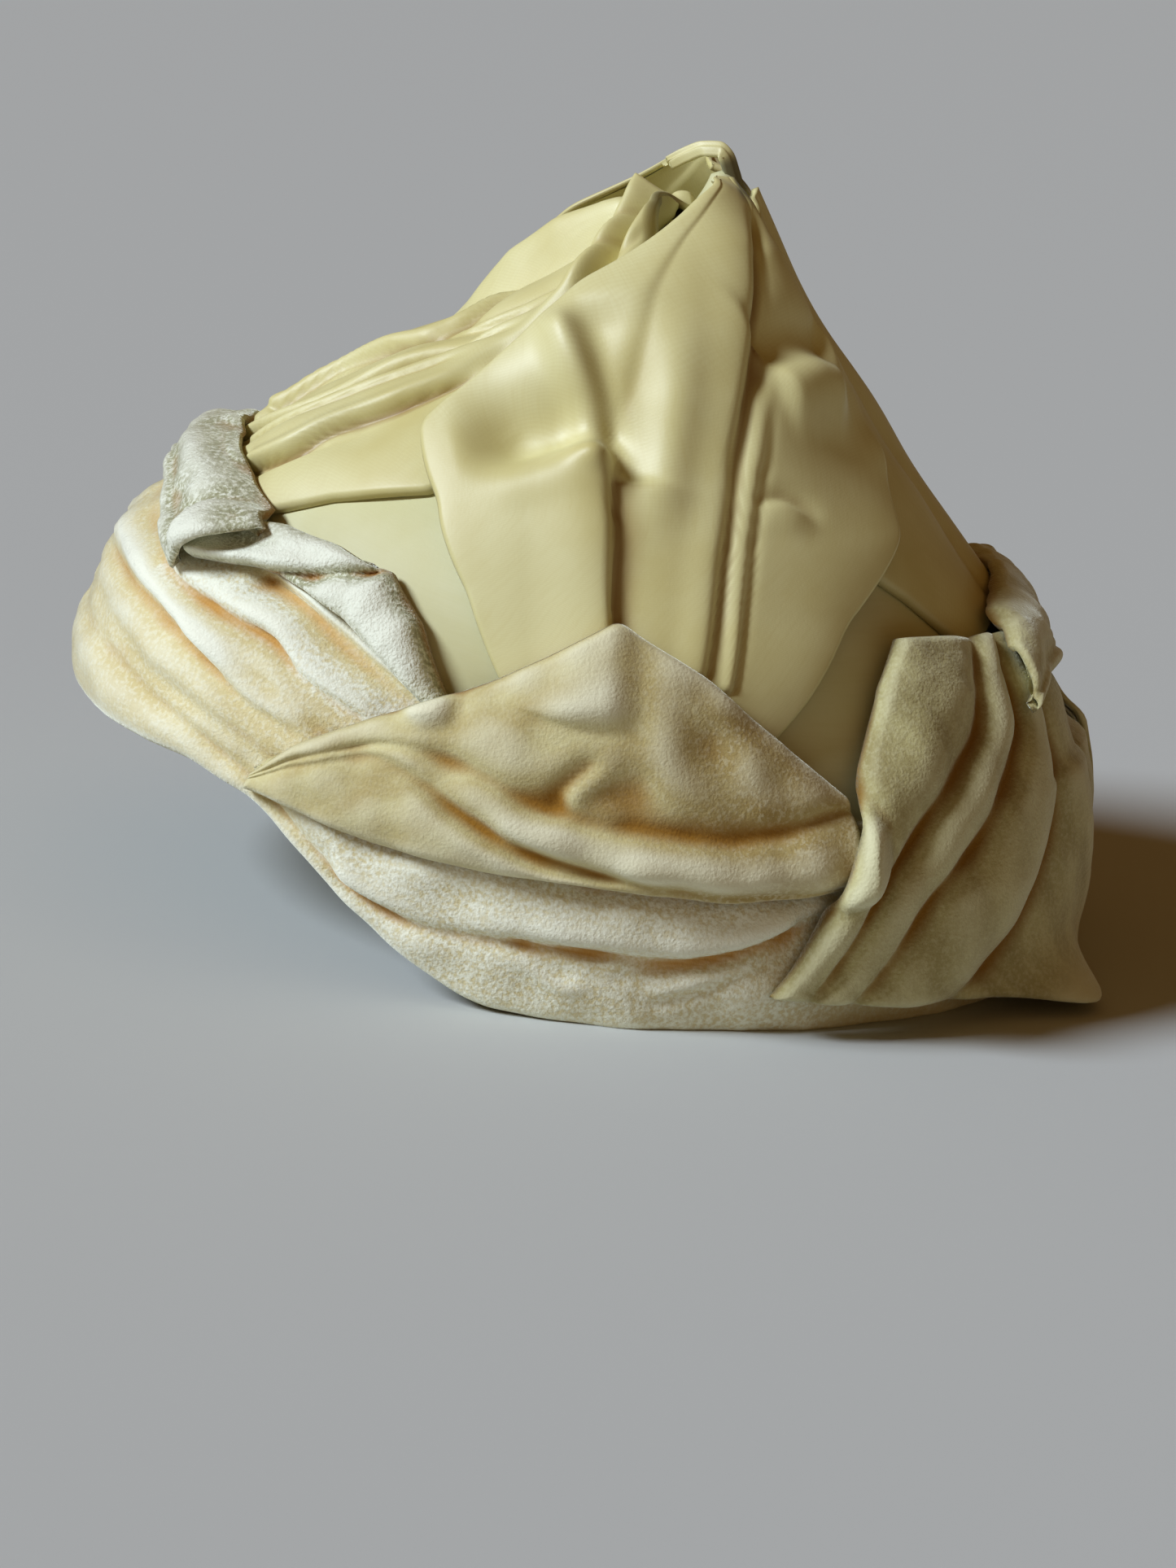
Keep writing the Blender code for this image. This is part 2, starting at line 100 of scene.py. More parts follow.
# %% [markdown]
# ## The cap that everything lies on
#
# The cloth is shaped over the foundation cap's own skin. Every place on it has two numbers: the angle
# round the head (0 at the front, positive on the left) and the height up the side in millimetres. A
# third number, the lift, says how far a sheet stands off the skin. A hem is then a line of angles and
# heights, and a fold is nothing but a lift that rises and falls.

# %% The cap's skin
def table(kind, *rows):
    """A table whose rows all have this kind of row's named columns."""
    return tuple(kind(*row) for row in rows)


def column(rows, field):
    return np.array([getattr(row, field) for row in rows], float)


Level = namedtuple("Level", "height front back half_width")
CAP_LEVELS = table(
    Level,
    (-8, -97, 95, 81), (0, -98, 96, 82), (25, -100, 98, 84), (45, -99, 95, 83), (60, -96, 87, 80),
    (73, -91, 77, 76), (84, -84, 67, 70), (95, -73, 57, 62), (105, -57, 48.5, 53), (115, -39, 41, 44),
    (128, -18, 31.5, 32), (141, 0, 23, 18), (152, 9, 17, 7), (158, 11.5, 14.5, 2.5),
)
# The corners of the levels are rounded over this height, in this many steps
ROUNDING = 7.0
ROUNDING_STEPS = 17
PEAK_HEIGHT = 158.0
# A step to each side, in degrees and in mm, for finding which way is out
NUDGE = 0.5


def rounded(at, known, values, reach):
    """A table read in straight runs, whose corners are rounded over this reach to each side."""
    steps = np.linspace(-reach, reach, ROUNDING_STEPS)
    return np.mean([np.interp(at + step, known, values) for step in steps], axis=0)


def cap_skin(angle, height):
    levels = column(CAP_LEVELS, "height")
    front, back, half = (
        rounded(height, levels, column(CAP_LEVELS, field), ROUNDING)
        for field in ("front", "back", "half_width")
    )
    turn = np.radians(angle)
    middle, reach = (front + back) / 2, (back - front) / 2
    return np.stack(
        [SLIDE + middle - reach * np.cos(turn), -half * np.sin(turn), height + 0 * turn], axis=-1
    )


def skin_outward(angle, height):
    """The direction straight out from the cap's skin."""
    around = cap_skin(angle + NUDGE, height) - cap_skin(angle - NUDGE, height)
    upward = cap_skin(angle, height + NUDGE) - cap_skin(angle, height - NUDGE)
    out = np.cross(around, upward)
    return out / np.linalg.norm(out, axis=-1, keepdims=True)


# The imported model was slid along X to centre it; the cap's foremost point says how far
SLIDE = 0.0
CAP_FRONT_HEIGHT = 44.0
SLIDE = float(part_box("foundation_cap")[0][0] / MM - cap_skin(0.0, CAP_FRONT_HEIGHT)[0])
print("the model was slid along X by", round(SLIDE, 2), "mm")

# %% [markdown]
# ## What has been laid so far
#
# A map of the whole cap, half a degree by half a millimetre, holds how far everything laid so far
# stands off. Each new sheet reads from it how high it must go, and is then added to it. The highest
# value nearby is evened out, so that a sheet bridges a small gap, as heavy cloth does.

# %% The pile
class Pile:
    CELLS = 2
    LOW = -12
    HIGH = 165

    def __init__(self):
        self.top = np.zeros((360 * self.CELLS, (self.HIGH - self.LOW) * self.CELLS + 1))

    def read(self, grid, angle, height):
        """The value between the map's own points."""
        turn = angle * self.CELLS
        up = np.clip((height - self.LOW) * self.CELLS, 0, grid.shape[1] - 1.001)
        low_turn, low_up = np.floor(turn).astype(int), np.floor(up).astype(int)
        part_turn, part_up = turn - low_turn, up - low_up
        first, second = low_turn % len(grid), (low_turn + 1) % len(grid)
        below = grid[first, low_up] * (1 - part_turn) + grid[second, low_up] * part_turn
        above = grid[first, low_up + 1] * (1 - part_turn) + grid[second, low_up + 1] * part_turn
        return below * (1 - part_up) + above * part_up

    def under(self, angle, height, reach):
        """The highest lift within this reach of each place, evened out without cutting into it."""
        even = self.top
        for work in (np.max, np.mean):
            for axis in (0, 1):
                even = work([np.roll(even, step, axis) for step in range(-reach, reach + 1)], axis=0)
        return self.read(even, angle, height)

    def add(self, angle, height, lift):
        """Lays a sheet on the map, filling between its own rows and columns."""
        for _ in range(2):
            angle, height, lift = (between(between(grid).T).T for grid in (angle, height, lift))
        places = (
            np.rint(angle * self.CELLS).astype(int) % len(self.top),
            np.clip(np.rint((height - self.LOW) * self.CELLS).astype(int), 0, self.top.shape[1] - 1),
        )
        np.maximum.at(self.top, places, lift)


def between(grid):
    """The grid with a new row halfway between each two."""
    fine = np.empty((2 * len(grid) - 1, grid.shape[1]))
    fine[::2] = grid
    fine[1::2] = (grid[1:] + grid[:-1]) / 2
    return fine


pile = Pile()
print("the map has", pile.top.size, "places")

# %% [markdown]
# ## How one sheet is described
#
# A sheet runs from one end to the other (along) and from edge a to edge b (across). A row of its first
# table gives, at one station along it, where both edges lie and how far they stand off. A second table
# holds its folds: where each begins across the sheet and how far it rises, at even steps along it.
# These are the tables of the solid pieces, read here along smooth curves and on a fine grid. Dents, and
# creases that follow a given path over the cap, make cloth of it.

# %% Rows of the tables
Station = namedtuple(
    "Station", "along a_angle a_height a_stand mid_stand b_angle b_height b_stand bow", defaults=(0,)
)
Fold = namedtuple("Fold", "begins rises lean", defaults=(0,))
# A soft round spot: its size at the middle is a dent's rise in mm, or a stain's strength
Spot = namedtuple("Spot", "angle height reach_angle reach_height size")
# A crease: its path over the cap as angles and heights, how high the cloth rolls up on the left of
# the path and over what width, how deep it sinks on the right and over what width, how far the roll
# leans over the crease, over what share of the path it fades at its first and its last end, and how
# far it reaches under the roll, which makes a wide one a soft bend
Crease = namedtuple(
    "Crease", "path rise near depth far lean first last under", defaults=(0.0, 0.15, 0.15, 0.8)
)
FOLD_FULLNESS = 0.62
LEAST_SHARE = 1e-3


def ramp(value, start, reach):
    """0 up to the start, and 1 from this far past it."""
    return np.clip((value - start) / reach, 0, 1)


def eased(share):
    """The same share, with a soft start and a soft end."""
    return share * share * (3 - 2 * share)


def spot_at(spot, angle, height):
    turn = (angle - spot.angle) / spot.reach_angle
    return spot.size * np.exp(-(turn**2) - ((height - spot.height) / spot.reach_height) ** 2)


def smooth(at, known, values):
    """A table read along one smooth curve through its rows, which never swings past them."""
    known, values = np.asarray(known, float), np.asarray(values, float)
    step = np.diff(known)
    pitch = np.diff(values) / step
    product = pitch[:-1] * pitch[1:]
    total = np.where(product > 0, pitch[:-1] + pitch[1:], 1.0)
    slope = np.concatenate([pitch[:1], np.where(product > 0, 2 * product / total, 0.0), pitch[-1:]])
    at = np.clip(at, known[0], known[-1])
    place = np.clip(np.searchsorted(known, at, side="right") - 1, 0, len(step) - 1)
    t, run = (at - known[place]) / step[place], step[place]
    return (
        (1 + 2 * t) * (1 - t) ** 2 * values[place]
        + t * (1 - t) ** 2 * run * slope[place]
        + t * t * (3 - 2 * t) * values[place + 1]
        + t * t * (t - 1) * run * slope[place + 1]
    )


def arch(share, crest):
    """A fold's cross-section: 0 at its two creases and 1 at its crest."""
    up = np.where(share < crest, share / crest, (1 - share) / (1 - crest))
    return (1 - (1 - np.clip(up, 0, 1)) ** 2) ** FOLD_FULLNESS


def fold_rise(folds, u, v):
    """How far the folds lift each place of a sheet, along it (u) and across it (v)."""
    steps = np.linspace(0, 1, len(folds[0].begins))
    edges = [smooth(u, steps, fold.begins) for fold in folds] + [1 + 0 * u]
    rise = np.zeros(np.broadcast(u, v).shape)
    for fold, low, high in zip(folds, edges, edges[1:]):
        share = ramp(v, low, np.maximum(high - low, LEAST_SHARE))
        rise += smooth(u, steps, fold.rises) * arch(share, 0.5 + 0.35 * fold.lean)
    return rise


print("a fold rises", arch(np.array([0.1, 0.25, 0.5]), 0.5).round(2), "of its height")

# %% [markdown]
# A crease is a line drawn on the skin. Each point of the sheet has a distance to it in millimetres,
# with a sign that says on which side it lies. One side rolls up and the other sinks.

# %% Creases
# A roll's crest lies at this share of its width, and a sharp one within this many millimetres
ROLL_CREST = 0.3
SHARP_CREST = 2.2
# A crease that reaches further under its roll than this, in mm, is a soft bend
SHARP_UNDER = 1.0
PATH_STEPS = 26
CRUMPLE_WAVES = 14


def beside(points, path, side):
    """Each point's distance from a path, positive on its left, its place along it, and the way left."""
    path = np.array(path, float)
    rough = cap_skin(path[:, 0] * side, path[:, 1])
    run = np.concatenate([[0], np.cumsum(np.linalg.norm(np.diff(rough, axis=0), axis=1))])
    at = np.linspace(0, run[-1], PATH_STEPS)
    angle, height = smooth(at, run, path[:, 0]) * side, smooth(at, run, path[:, 1])
    line, out = cap_skin(angle, height), skin_outward(angle, height)
    best = np.full(points.shape[:-1], np.inf)
    signed, share = np.zeros(best.shape), np.zeros(best.shape)
    way = np.zeros(points.shape)
    for index in range(len(line) - 1):
        piece = line[index + 1] - line[index]
        length = np.linalg.norm(piece)
        left = np.cross(out[index], piece / length) * side
        local = points - line[index]
        t = np.clip(local @ piece / length**2, 0, 1)
        apart = local - t[..., None] * piece
        far = np.linalg.norm(apart, axis=-1)
        nearer = far < best
        best = np.where(nearer, far, best)
        signed = np.where(nearer, far * np.where(apart @ left >= 0, 1, -1), signed)
        share = np.where(nearer, (at[index] + t * length) / at[-1], share)
        way[nearer] = left
    return signed, share, way


def crease_lift(points, crease, side):
    """What one crease adds to the lift, and how far it pushes the points sideways."""
    signed, share, way = beside(points, crease.path, side)
    first, last = (max(reach, LEAST_SHARE) for reach in (crease.first, crease.last))
    fade = eased(ramp(share, 0, first) * ramp(1 - share, 0, last))
    crest = ROLL_CREST * crease.near
    if crease.under > SHARP_UNDER:
        up = eased(ramp(signed, -crease.under, crest + crease.under))
    else:
        crest = min(crest, SHARP_CREST)
        up = np.sqrt(1 - (1 - ramp(signed, 0, crest)) ** 2)
    down = 0.5 * (1 + np.cos(np.pi * ramp(signed, crest, crease.near - crest)))
    roll = up * down
    width = np.where(signed > 0, crease.under, crease.far)
    sink = np.exp(-((signed / width) ** 2))
    height, depth = (
        np.interp(share, np.linspace(0, 1, np.size(values)), np.atleast_1d(values))
        for values in (crease.rise, crease.depth)
    )
    return fade * (height * roll - depth * sink), -way * (fade * roll * crease.lean)[..., None]


def crumple(points, seed, wave, height):
    """Soft random bumps about this many millimetres long and high, the same each run."""
    rng = np.random.default_rng(seed)
    total = np.zeros(points.shape[:-1])
    for _ in range(CRUMPLE_WAVES):
        way = rng.normal(size=3)
        way *= 2 * np.pi / (wave * rng.uniform(0.7, 1.5) * np.linalg.norm(way))
        total += np.sin(points @ way + rng.uniform(0, 2 * np.pi))
    return total * height / math.sqrt(CRUMPLE_WAVES / 2)


print("a crease rolls up to its crest in", ROLL_CREST, "of its width")

# %% [markdown]
# ## From the tables to a sheet of cloth
#
# A sheet starts as Blender's own grid. Its points are set where the tables put them, closer together
# near the edges, where a hem turns under. Solidify then gives it the cloth's thickness, inwards. The
# sheet also carries what its finish needs: a UV map in metres, and for each point how deep it lies in
# a crease, where the finish paints shade, how far it stands out on a ridge, where the velvet paints a
# highlight, and a mark of soil and wear, which on the velvet band's lowest roll is painted light.

# %% Laying a sheet
Layout = namedtuple("Layout", "angle height stand rise")
# A piece of cloth before it is sewn: the sides of the rectangle round it, and its own area where it
# isn't a rectangle
Cut = namedtuple("Cut", "width length area", defaults=(None,))
EDGE_CROWDING = 0.45
# The corners of a sheet's outline are rounded over this share of its length
CORNER = 0.015
# A sheet is first laid out this coarsely, to find how many cells it needs
ROUGH_STEPS = 25
# The air under a sheet, how far its folds are evened out and how softly it leaves the pile, in mm
AIR = 0.25
EVENED = 0.5
STAND_BLEND = 0.6
PILE_BLEND = 0.3
# How many of the map's places around each one are looked at
PILE_REACH = 3
# How far below its surroundings a place lies for a full step into a crease, how many steps pass before
# it shows, and how far above them it is fully a ridge, in mm
CREASE_DEPTH = 1.6
CREASE_START = 0.12
RIDGE_HEIGHT = 2.0
# The finishes paint shade by the crease mark and a highlight by the ridge mark; the soil mark holds
# soil, wear and painted light
MARKS = ("crease", "ridge", "soil_and_painted_light")


def crowded(count):
    """Even steps from 0 to 1, drawn together near both ends."""
    t = np.linspace(0, 1, count)
    return t - EDGE_CROWDING * np.sin(2 * np.pi * t) / (2 * np.pi)


def places_between(stations, u, v):
    """The angle, height and stand of each place of a sheet."""
    known = column(stations, "along")
    at = {field: smooth(u, known, column(stations, field)) for field in Station._fields[1:]}
    for field in ("a_angle", "a_height", "b_angle", "b_height"):
        at[field] = rounded(u, known, column(stations, field), CORNER)
    angle, height, stand = (
        at["a_" + word] * (1 - v) + at["b_" + word] * v for word in ("angle", "height", "stand")
    )
    middle = at["mid_stand"] - (at["a_stand"] + at["b_stand"]) / 2
    return angle, height + at["bow"] * 4 * v * (1 - v), stand + middle * 4 * v * (1 - v)


def run_along(points, axis):
    """The distance in mm from the first row or column, along the sheet."""
    steps = np.linalg.norm(np.diff(points, axis=axis), axis=-1)
    return np.insert(np.cumsum(steps, axis=axis), 0, 0, axis=axis)


def laid_out(stations, folds, cell, crowd_ends=True):
    """A sheet's grid, with cells of about this many millimetres."""
    rough = np.linspace(0, 1, ROUGH_STEPS)
    angle, height, stand = places_between(stations, rough[:, None], rough[None, :])
    points = cap_skin(angle, height)
    length = run_along(points, 0)[-1].max()
    width = run_along(points, 1)[:, -1].max()
    rows, columns = int(length / cell) + 2, int(width / cell) + 2
    u = (crowded(rows) if crowd_ends else np.linspace(0, 1, rows))[:, None]
    v = crowded(columns)[None, :]
    angle, height, stand = places_between(stations, u, v)
    return Layout(angle, height, stand, fold_rise(folds, u, v))


def both_halves(layout):
    """A half ring from the front to the back, continued round the other side."""
    halves = [np.concatenate([grid[:0:-1], grid]) for grid in layout]
    halves[0][: len(layout.angle) - 1] *= -1
    return Layout(*halves)


def rolled_edges(points, roll):
    """How far the cloth turns down at its edges: a, b, first end and last end."""
    down = np.zeros(points.shape[:2])
    for radius, axis, last in zip(roll, (1, 1, 0, 0), (False, True, False, True)):
        if radius:
            run = run_along(points, axis)
            if last:
                run = run.take([-1], axis=axis) - run
            share = ramp(run, 0, radius)
            down = np.maximum(down, radius * (1 - np.sqrt(1 - (1 - share) ** 2)))
    return down


def blurred(grid, points, reach):
    """The grid's mean over about this many millimetres each way."""
    for axis in (0, 1):
        cell = np.median(np.linalg.norm(np.diff(points, axis=axis), axis=-1))
        cells = max(1, int(reach / cell))
        moved = np.moveaxis(grid, axis, 0)
        padded = np.concatenate([moved[:1].repeat(cells + 1, 0), moved, moved[-1:].repeat(cells, 0)])
        total = np.cumsum(padded, axis=0)
        moved = (total[2 * cells + 1 :] - total[: -2 * cells - 1]) / (2 * cells + 1)
        grid = np.moveaxis(moved, 0, axis)
    return grid


def sheet_mesh(name, points):
    """Blender's grid with its points and its UV map set, both in metres."""
    rows, columns = points.shape[:2]
    bpy.ops.mesh.primitive_grid_add(x_subdivisions=columns - 1, y_subdivisions=rows - 1, size=1)
    made = bpy.context.object
    made.name = made.data.name = name
    made.data.vertices.foreach_set("co", (points * MM).ravel())
    across, along = run_along(points, 1) * MM, run_along(points, 0) * MM
    corners = np.empty(len(made.data.loops), int)
    made.data.loops.foreach_get("vertex_index", corners)
    flat = np.stack([across.ravel()[corners], along.ravel()[corners]], axis=-1)
    made.data.uv_layers.active.data.foreach_set("uv", flat.ravel())
    return made


def mark(made, name, values):
    """Keeps a number for each point of the sheet under this name."""
    made.data.attributes.new(name, "FLOAT", "POINT").data.foreach_set("value", values.ravel())


def merge_seams(turn_out=False):
    """Joins the points of the new sheet that lie on each other."""
    bpy.ops.object.mode_set(mode="EDIT")
    bpy.ops.mesh.select_all(action="SELECT")
    bpy.ops.mesh.remove_doubles(threshold=1e-6)
    if turn_out:
        bpy.ops.mesh.normals_make_consistent(inside=False)
    bpy.ops.object.mode_set(mode="OBJECT")


def thicken(made, wall, group=""):
    """Gives the sheet its thickness, inwards, which a vertex group can make thinner."""
    solid = made.modifiers.new("wall", "SOLIDIFY")
    solid.thickness = wall * MM
    solid.offset = -1
    solid.vertex_group = group
    bpy.ops.object.modifier_apply(modifier=solid.name)
    bpy.ops.object.shade_smooth()


def soft_greatest(first, second, blend):
    """The greater of two, rounded over where they cross."""
    return (first + second + np.sqrt((first - second) ** 2 + blend**2)) / 2


def dress(made, node, finish, cut):
    """Gives the sheet its finish and tells the frame what it is."""
    made.data.materials.clear()
    made.data.materials.append(finish)
    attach(made, "root")
    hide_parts(node)
    shown = sum(face.area for face in made.data.polygons) / 2
    print(made.name, "shows", round(shown, 5), "m2 of", cut.area or round(cut.width * cut.length, 5))


def cloth(
    node, kind, layout, finish, cut, side=1, creases=(), dents=(),
    roll=(1.5, 1.5, 1.5, 1.5), bumps=(), soil_and_painted_light=None, ring=False, far_creases=(), wall=None,
):
    """One sheet of cloth, laid over what is already on the pile."""
    wall = wall or WALLS[kind]
    angle, height, stand, rise = layout
    angle = angle * side
    skin = cap_skin(angle, height)
    push, soft = np.zeros(skin.shape), np.zeros(angle.shape)
    for rows, half in ((creases, side), (far_creases, -side)):
        for crease in rows:
            lift, shift = crease_lift(skin, crease, half)
            rise, push = rise + lift, push + shift
            if crease.under > SHARP_UNDER:
                soft = soft + lift
    for dent in dents:
        rise = rise + spot_at(dent, angle * side, height)
    for seed, wave, size in bumps:
        rise = rise + crumple(skin, seed, wave, size)
    rise = blurred(rise, skin, EVENED)
    laid = pile.under(angle, height, PILE_REACH) + AIR
    lift = soft_greatest(soft_greatest(laid, stand, STAND_BLEND) + rise, laid, PILE_BLEND) + wall
    lift = np.maximum(lift - rolled_edges(skin, roll), laid)
    out = skin_outward(angle, height)
    points = skin + out * lift[..., None] + push
    points[..., 2] = np.maximum(points[..., 2], 0)
    around = np.cross(points[1:, :-1] - points[:-1, :-1], points[:-1, 1:] - points[:-1, :-1])
    faces_in = (around * out[:-1, :-1]).sum(-1).mean() > 0
    # The crease mark below is painted as shade and the ridge mark as a highlight; the soil mark holds
    # soil, wear and painted light
    sharp = lift - soft
    proud = sharp - blurred(sharp, skin, DEEP[kind])
    deep = np.clip(-proud / CREASE_DEPTH - CREASE_START, 0, 1)
    soil_and_light_share = soil_and_painted_light(angle * side, height) if soil_and_painted_light else np.zeros(lift.shape)
    turned_round = slice(None, None, -1) if faces_in else slice(None)
    made = sheet_mesh(node + "_" + kind, points[:, turned_round])
    for word, values in zip(MARKS, (deep, ramp(proud, 0, RIDGE_HEIGHT), soil_and_light_share)):
        mark(made, word, values[:, turned_round])
    if ring:
        merge_seams()
    thicken(made, wall)
    pile.add(angle, height, lift)
    dress(made, node, finish, cut)


WALLS = {"satin": 1.5, "velvet": 2.2}
# A place lies in a crease or on a ridge when it is lower or higher than this far around it, in mm
DEEP = {"satin": 3.0, "velvet": 5.0}

# %% [markdown]
# ## Finishes
#
# The satin is an ivory duchesse: dense, smooth and softly glossy, with a faint twill. Deep in its folds
# a darker golden colour is painted shade, for the shade there and the light bounced from cloth to
# cloth.
# The velvet is silk, crushed and worn: its pile lies this way and that, so it is given painted glints
# in cream flecks, and painted warm shade in its folds.
# Every colour is an sRGB hex value, turned to linear light by one function.

# %% A node at a time
def linear(text):
    """An sRGB hex colour as linear light, with full opacity."""
    parts = [int(text[i : i + 2], 16) / 255 for i in (1, 3, 5)]
    return tuple(p / 12.92 if p <= 0.04045 else ((p + 0.055) / 1.055) ** 2.4 for p in parts) + (1.0,)


def add(tree, kind, inputs, **settings):
    """Adds one node. Each of its inputs is a value or the socket that feeds it."""
    node = tree.nodes.new(kind)
    for word, value in settings.items():
        setattr(node, word, value)
    for word, value in inputs.items():
        if isinstance(value, bpy.types.NodeSocket):
            tree.links.new(value, node.inputs[word])
        else:
            node.inputs[word].default_value = value
    return node


# The colour sockets of Blender's Mix node, by their place
FACTOR, FIRST, SECOND, MIXED = 0, 6, 7, 2


def layered(tree, colour, layers):
    """Lays colours over the first one, each as far as a value lies between two limits, up to a most."""
    colour = linear(colour)
    for value, low, high, most, tint in layers:
        limits = {"Value": value, "From Min": low, "From Max": high, "To Max": most}
        share = add(tree, "ShaderNodeMapRange", limits, clamp=True).outputs["Result"]
        inputs = {FACTOR: share, FIRST: colour, SECOND: linear(tint)}
        colour = add(tree, "ShaderNodeMix", inputs, data_type="RGBA").outputs[MIXED]
    return colour


def new_finish(name, roughness, sheen, sheen_roughness, tint, gloss, noises, words):
    """A material, with its shader and the sockets of its places, its noises and its marks.

    Each noise's row says how far it is drawn out along the cloth, if at all, and its size in mm."""
    finish = bpy.data.materials.new(name)
    finish.use_nodes = True
    tree = finish.node_tree
    shader = tree.nodes["Principled BSDF"]
    values = {"Roughness": roughness, "Specular IOR Level": gloss, "Sheen Weight": sheen,
              "Sheen Roughness": sheen_roughness, "Sheen Tint": linear(tint)}
    for word, value in values.items():
        shader.inputs[word].default_value = value
    place = add(tree, "ShaderNodeTexCoord", {}).outputs
    sockets = []
    for stretch, size, detail, broken in noises:
        where = place["Object"]
        if stretch:
            lay = {"Vector": place["UV"], "Scale": (1, stretch, 1)}
            where = add(tree, "ShaderNodeMapping", lay).outputs["Vector"]
        pattern = {"Vector": where, "Scale": 1 / (size * MM), "Detail": detail, "Roughness": broken}
        sockets.append(add(tree, "ShaderNodeTexNoise", pattern).outputs["Fac"])
    marks = [add(tree, "ShaderNodeAttribute", {}, attribute_name=word).outputs["Fac"] for word in words]
    return finish, tree, shader, place, sockets, marks


def connect(tree, shader, colour, relief, strength, distance):
    """Gives the shader its colour, and its relief as a bump of this many metres."""
    bump = add(tree, "ShaderNodeBump", {"Height": relief, "Strength": strength, "Distance": distance})
    tree.links.new(colour, shader.inputs["Base Color"])
    tree.links.new(bump.outputs["Normal"], shader.inputs["Normal"])


print("ivory in linear light:", [round(v, 2) for v in linear("#EDE3BE")])

# %% [markdown]
# ### Satin
#
# The twill's lines are really 0.4 mm apart, too fine to show, so they are drawn 0.6 mm apart. Thicker
# threads run as faint streaks, and the cloth has yellowed a little, unevenly.

# %% Satin
TWILL_MM = 0.6
STREAK_MM = 0.7
GRAIN_MM = 0.5
YELLOWING_MM = 28.0
TWILL_SLANT = math.radians(63)
# How much the twill tints the cloth, and how high its lines stand beside the grain
TWILL_TINT = 0.18
TWILL_RELIEF = 0.1
# Blender's Wave texture makes one wave in this many of its own units
WAVE_UNIT = 0.314


def satin(name, lit, aged, painted_crease_shade, soiled, twill=1.0, gloss=0.7):
    """Half rough, with hardly any sheen: broad soft lights, as on heavy silk."""
    noises = ((0.06, STREAK_MM, 3, 0.5), (None, GRAIN_MM, 2, 0.5), (None, YELLOWING_MM, 4, 0.5))
    finish, tree, shader, place, (streaks, grain, blotches), (crease, soil_and_painted_light) = new_finish(
        name, 0.5, 0.1, 0.4, "#F4FFF2", gloss, noises, ("crease", "soil_and_painted_light")
    )
    threads = add(tree, "ShaderNodeMapping", {"Vector": place["UV"], "Rotation": (0, 0, TWILL_SLANT)})
    lay = {"Vector": threads.outputs["Vector"], "Scale": WAVE_UNIT / (TWILL_MM * MM), "Distortion": 0.0}
    lines = add(tree, "ShaderNodeTexWave", lay).outputs["Fac"]
    colour = layered(tree, lit, (
        (blotches, 0.42, 0.75, 1, aged),
        (streaks, 0.45, 1.6, 1, aged),
        (lines, 0, 1, TWILL_TINT * twill, aged),
        # Painted shade: a darker golden colour in the creases, for shade and light bounced between
        # folds
        (crease, 0, 1.2, 1, painted_crease_shade),
        (soil_and_painted_light, 0, 1, 1, soiled),
    ))
    relief = {0: lines, 1: TWILL_RELIEF * twill, 2: grain}
    relief = add(tree, "ShaderNodeMath", relief, operation="MULTIPLY_ADD").outputs[0]
    connect(tree, shader, colour, relief, 0.2, 0.0001)
    return finish


# Each satin's third colour is the painted shade of its creases, and its fourth is real soil
IVORY = satin("ivory_duchesse_satin", "#E1DBA6", "#D2C788", "#865608", "#5F5C46")
FLAT_IVORY = satin("flat_ivory_satin", "#DCDAB0", "#D2CE9A", "#865608", "#5F5C46", 0.5, 0.3)
print("satins:", IVORY.name, FLAT_IVORY.name)

# %% [markdown]
# ### Velvet
#
# Pile lies in locks about a millimetre across, lit or unlit as the cloth was pressed, and they are
# drawn
# at their own size: painted glints on the lit locks and painted shade on the unlit ones. Broad patches,
# drawn out along the cloth, are darker, as where the nap was brushed the other way. Creases are painted
# warm and darker as painted shade, and ridges are painted pale, partly for wear and partly as a painted
# highlight.

# %% Velvet
LOCK_MM = 1.0
PILE_MM = 0.6
PATCH_MM = 8.0
# How far the painted glints of lit locks, and the painted shade of unlit ones, cover the colour at most
LOCKS_MOST = (0.9, 0.7)


def velvet(name, pale, body, dark, warm, wear_and_painted_light, nap):
    """Rough, with a strong pale sheen: it lights up where the pile is seen from the side."""
    noises = ((0.4, PATCH_MM, 2, 0.5), (None, LOCK_MM, 2, 0.6), (None, PILE_MM, 1, 0.5))
    finish, tree, shader, _, (patches, locks, hairs), (crease, ridge, soil_and_painted_light) = new_finish(
        name, 0.8, 0.9, 0.42, "#F4F8EA", 0.3, noises, MARKS
    )
    # How strong the painted glints and painted shade of the locks are: more with the nap, and more
    # where the soil mark lies
    rough = {0: soil_and_painted_light, 1: 3 * nap, 2: nap}
    rough = add(tree, "ShaderNodeMath", rough, operation="MULTIPLY_ADD", use_clamp=True).outputs[0]
    lit, unlit = (
        add(tree, "ShaderNodeMath", {0: rough, 1: most}, operation="MULTIPLY").outputs[0]
        for most in LOCKS_MOST
    )
    colour = layered(tree, body, (
        (patches, 0.35, 0.7, 1, dark),
        # Soil and wear, and on the band's lowest roll painted light
        (soil_and_painted_light, 0, 1, 1, wear_and_painted_light),
        # Painted glints on the lit locks, and painted shade on the unlit ones
        (locks, 0.48, 0.62, lit, pale),
        (locks, 0.5, 0.36, unlit, dark),
        # A painted highlight on the ridges, partly standing for wear, and painted warm shade in the
        # creases
        (ridge, 0.05, 0.8, 1, pale),
        (crease, 0.1, 1, 1, warm),
    ))
    relief = add(tree, "ShaderNodeMath", {0: hairs, 1: locks}, operation="ADD").outputs[0]
    connect(tree, shader, colour, relief, 0.25 + 0.45 * nap, 0.00035)
    return finish


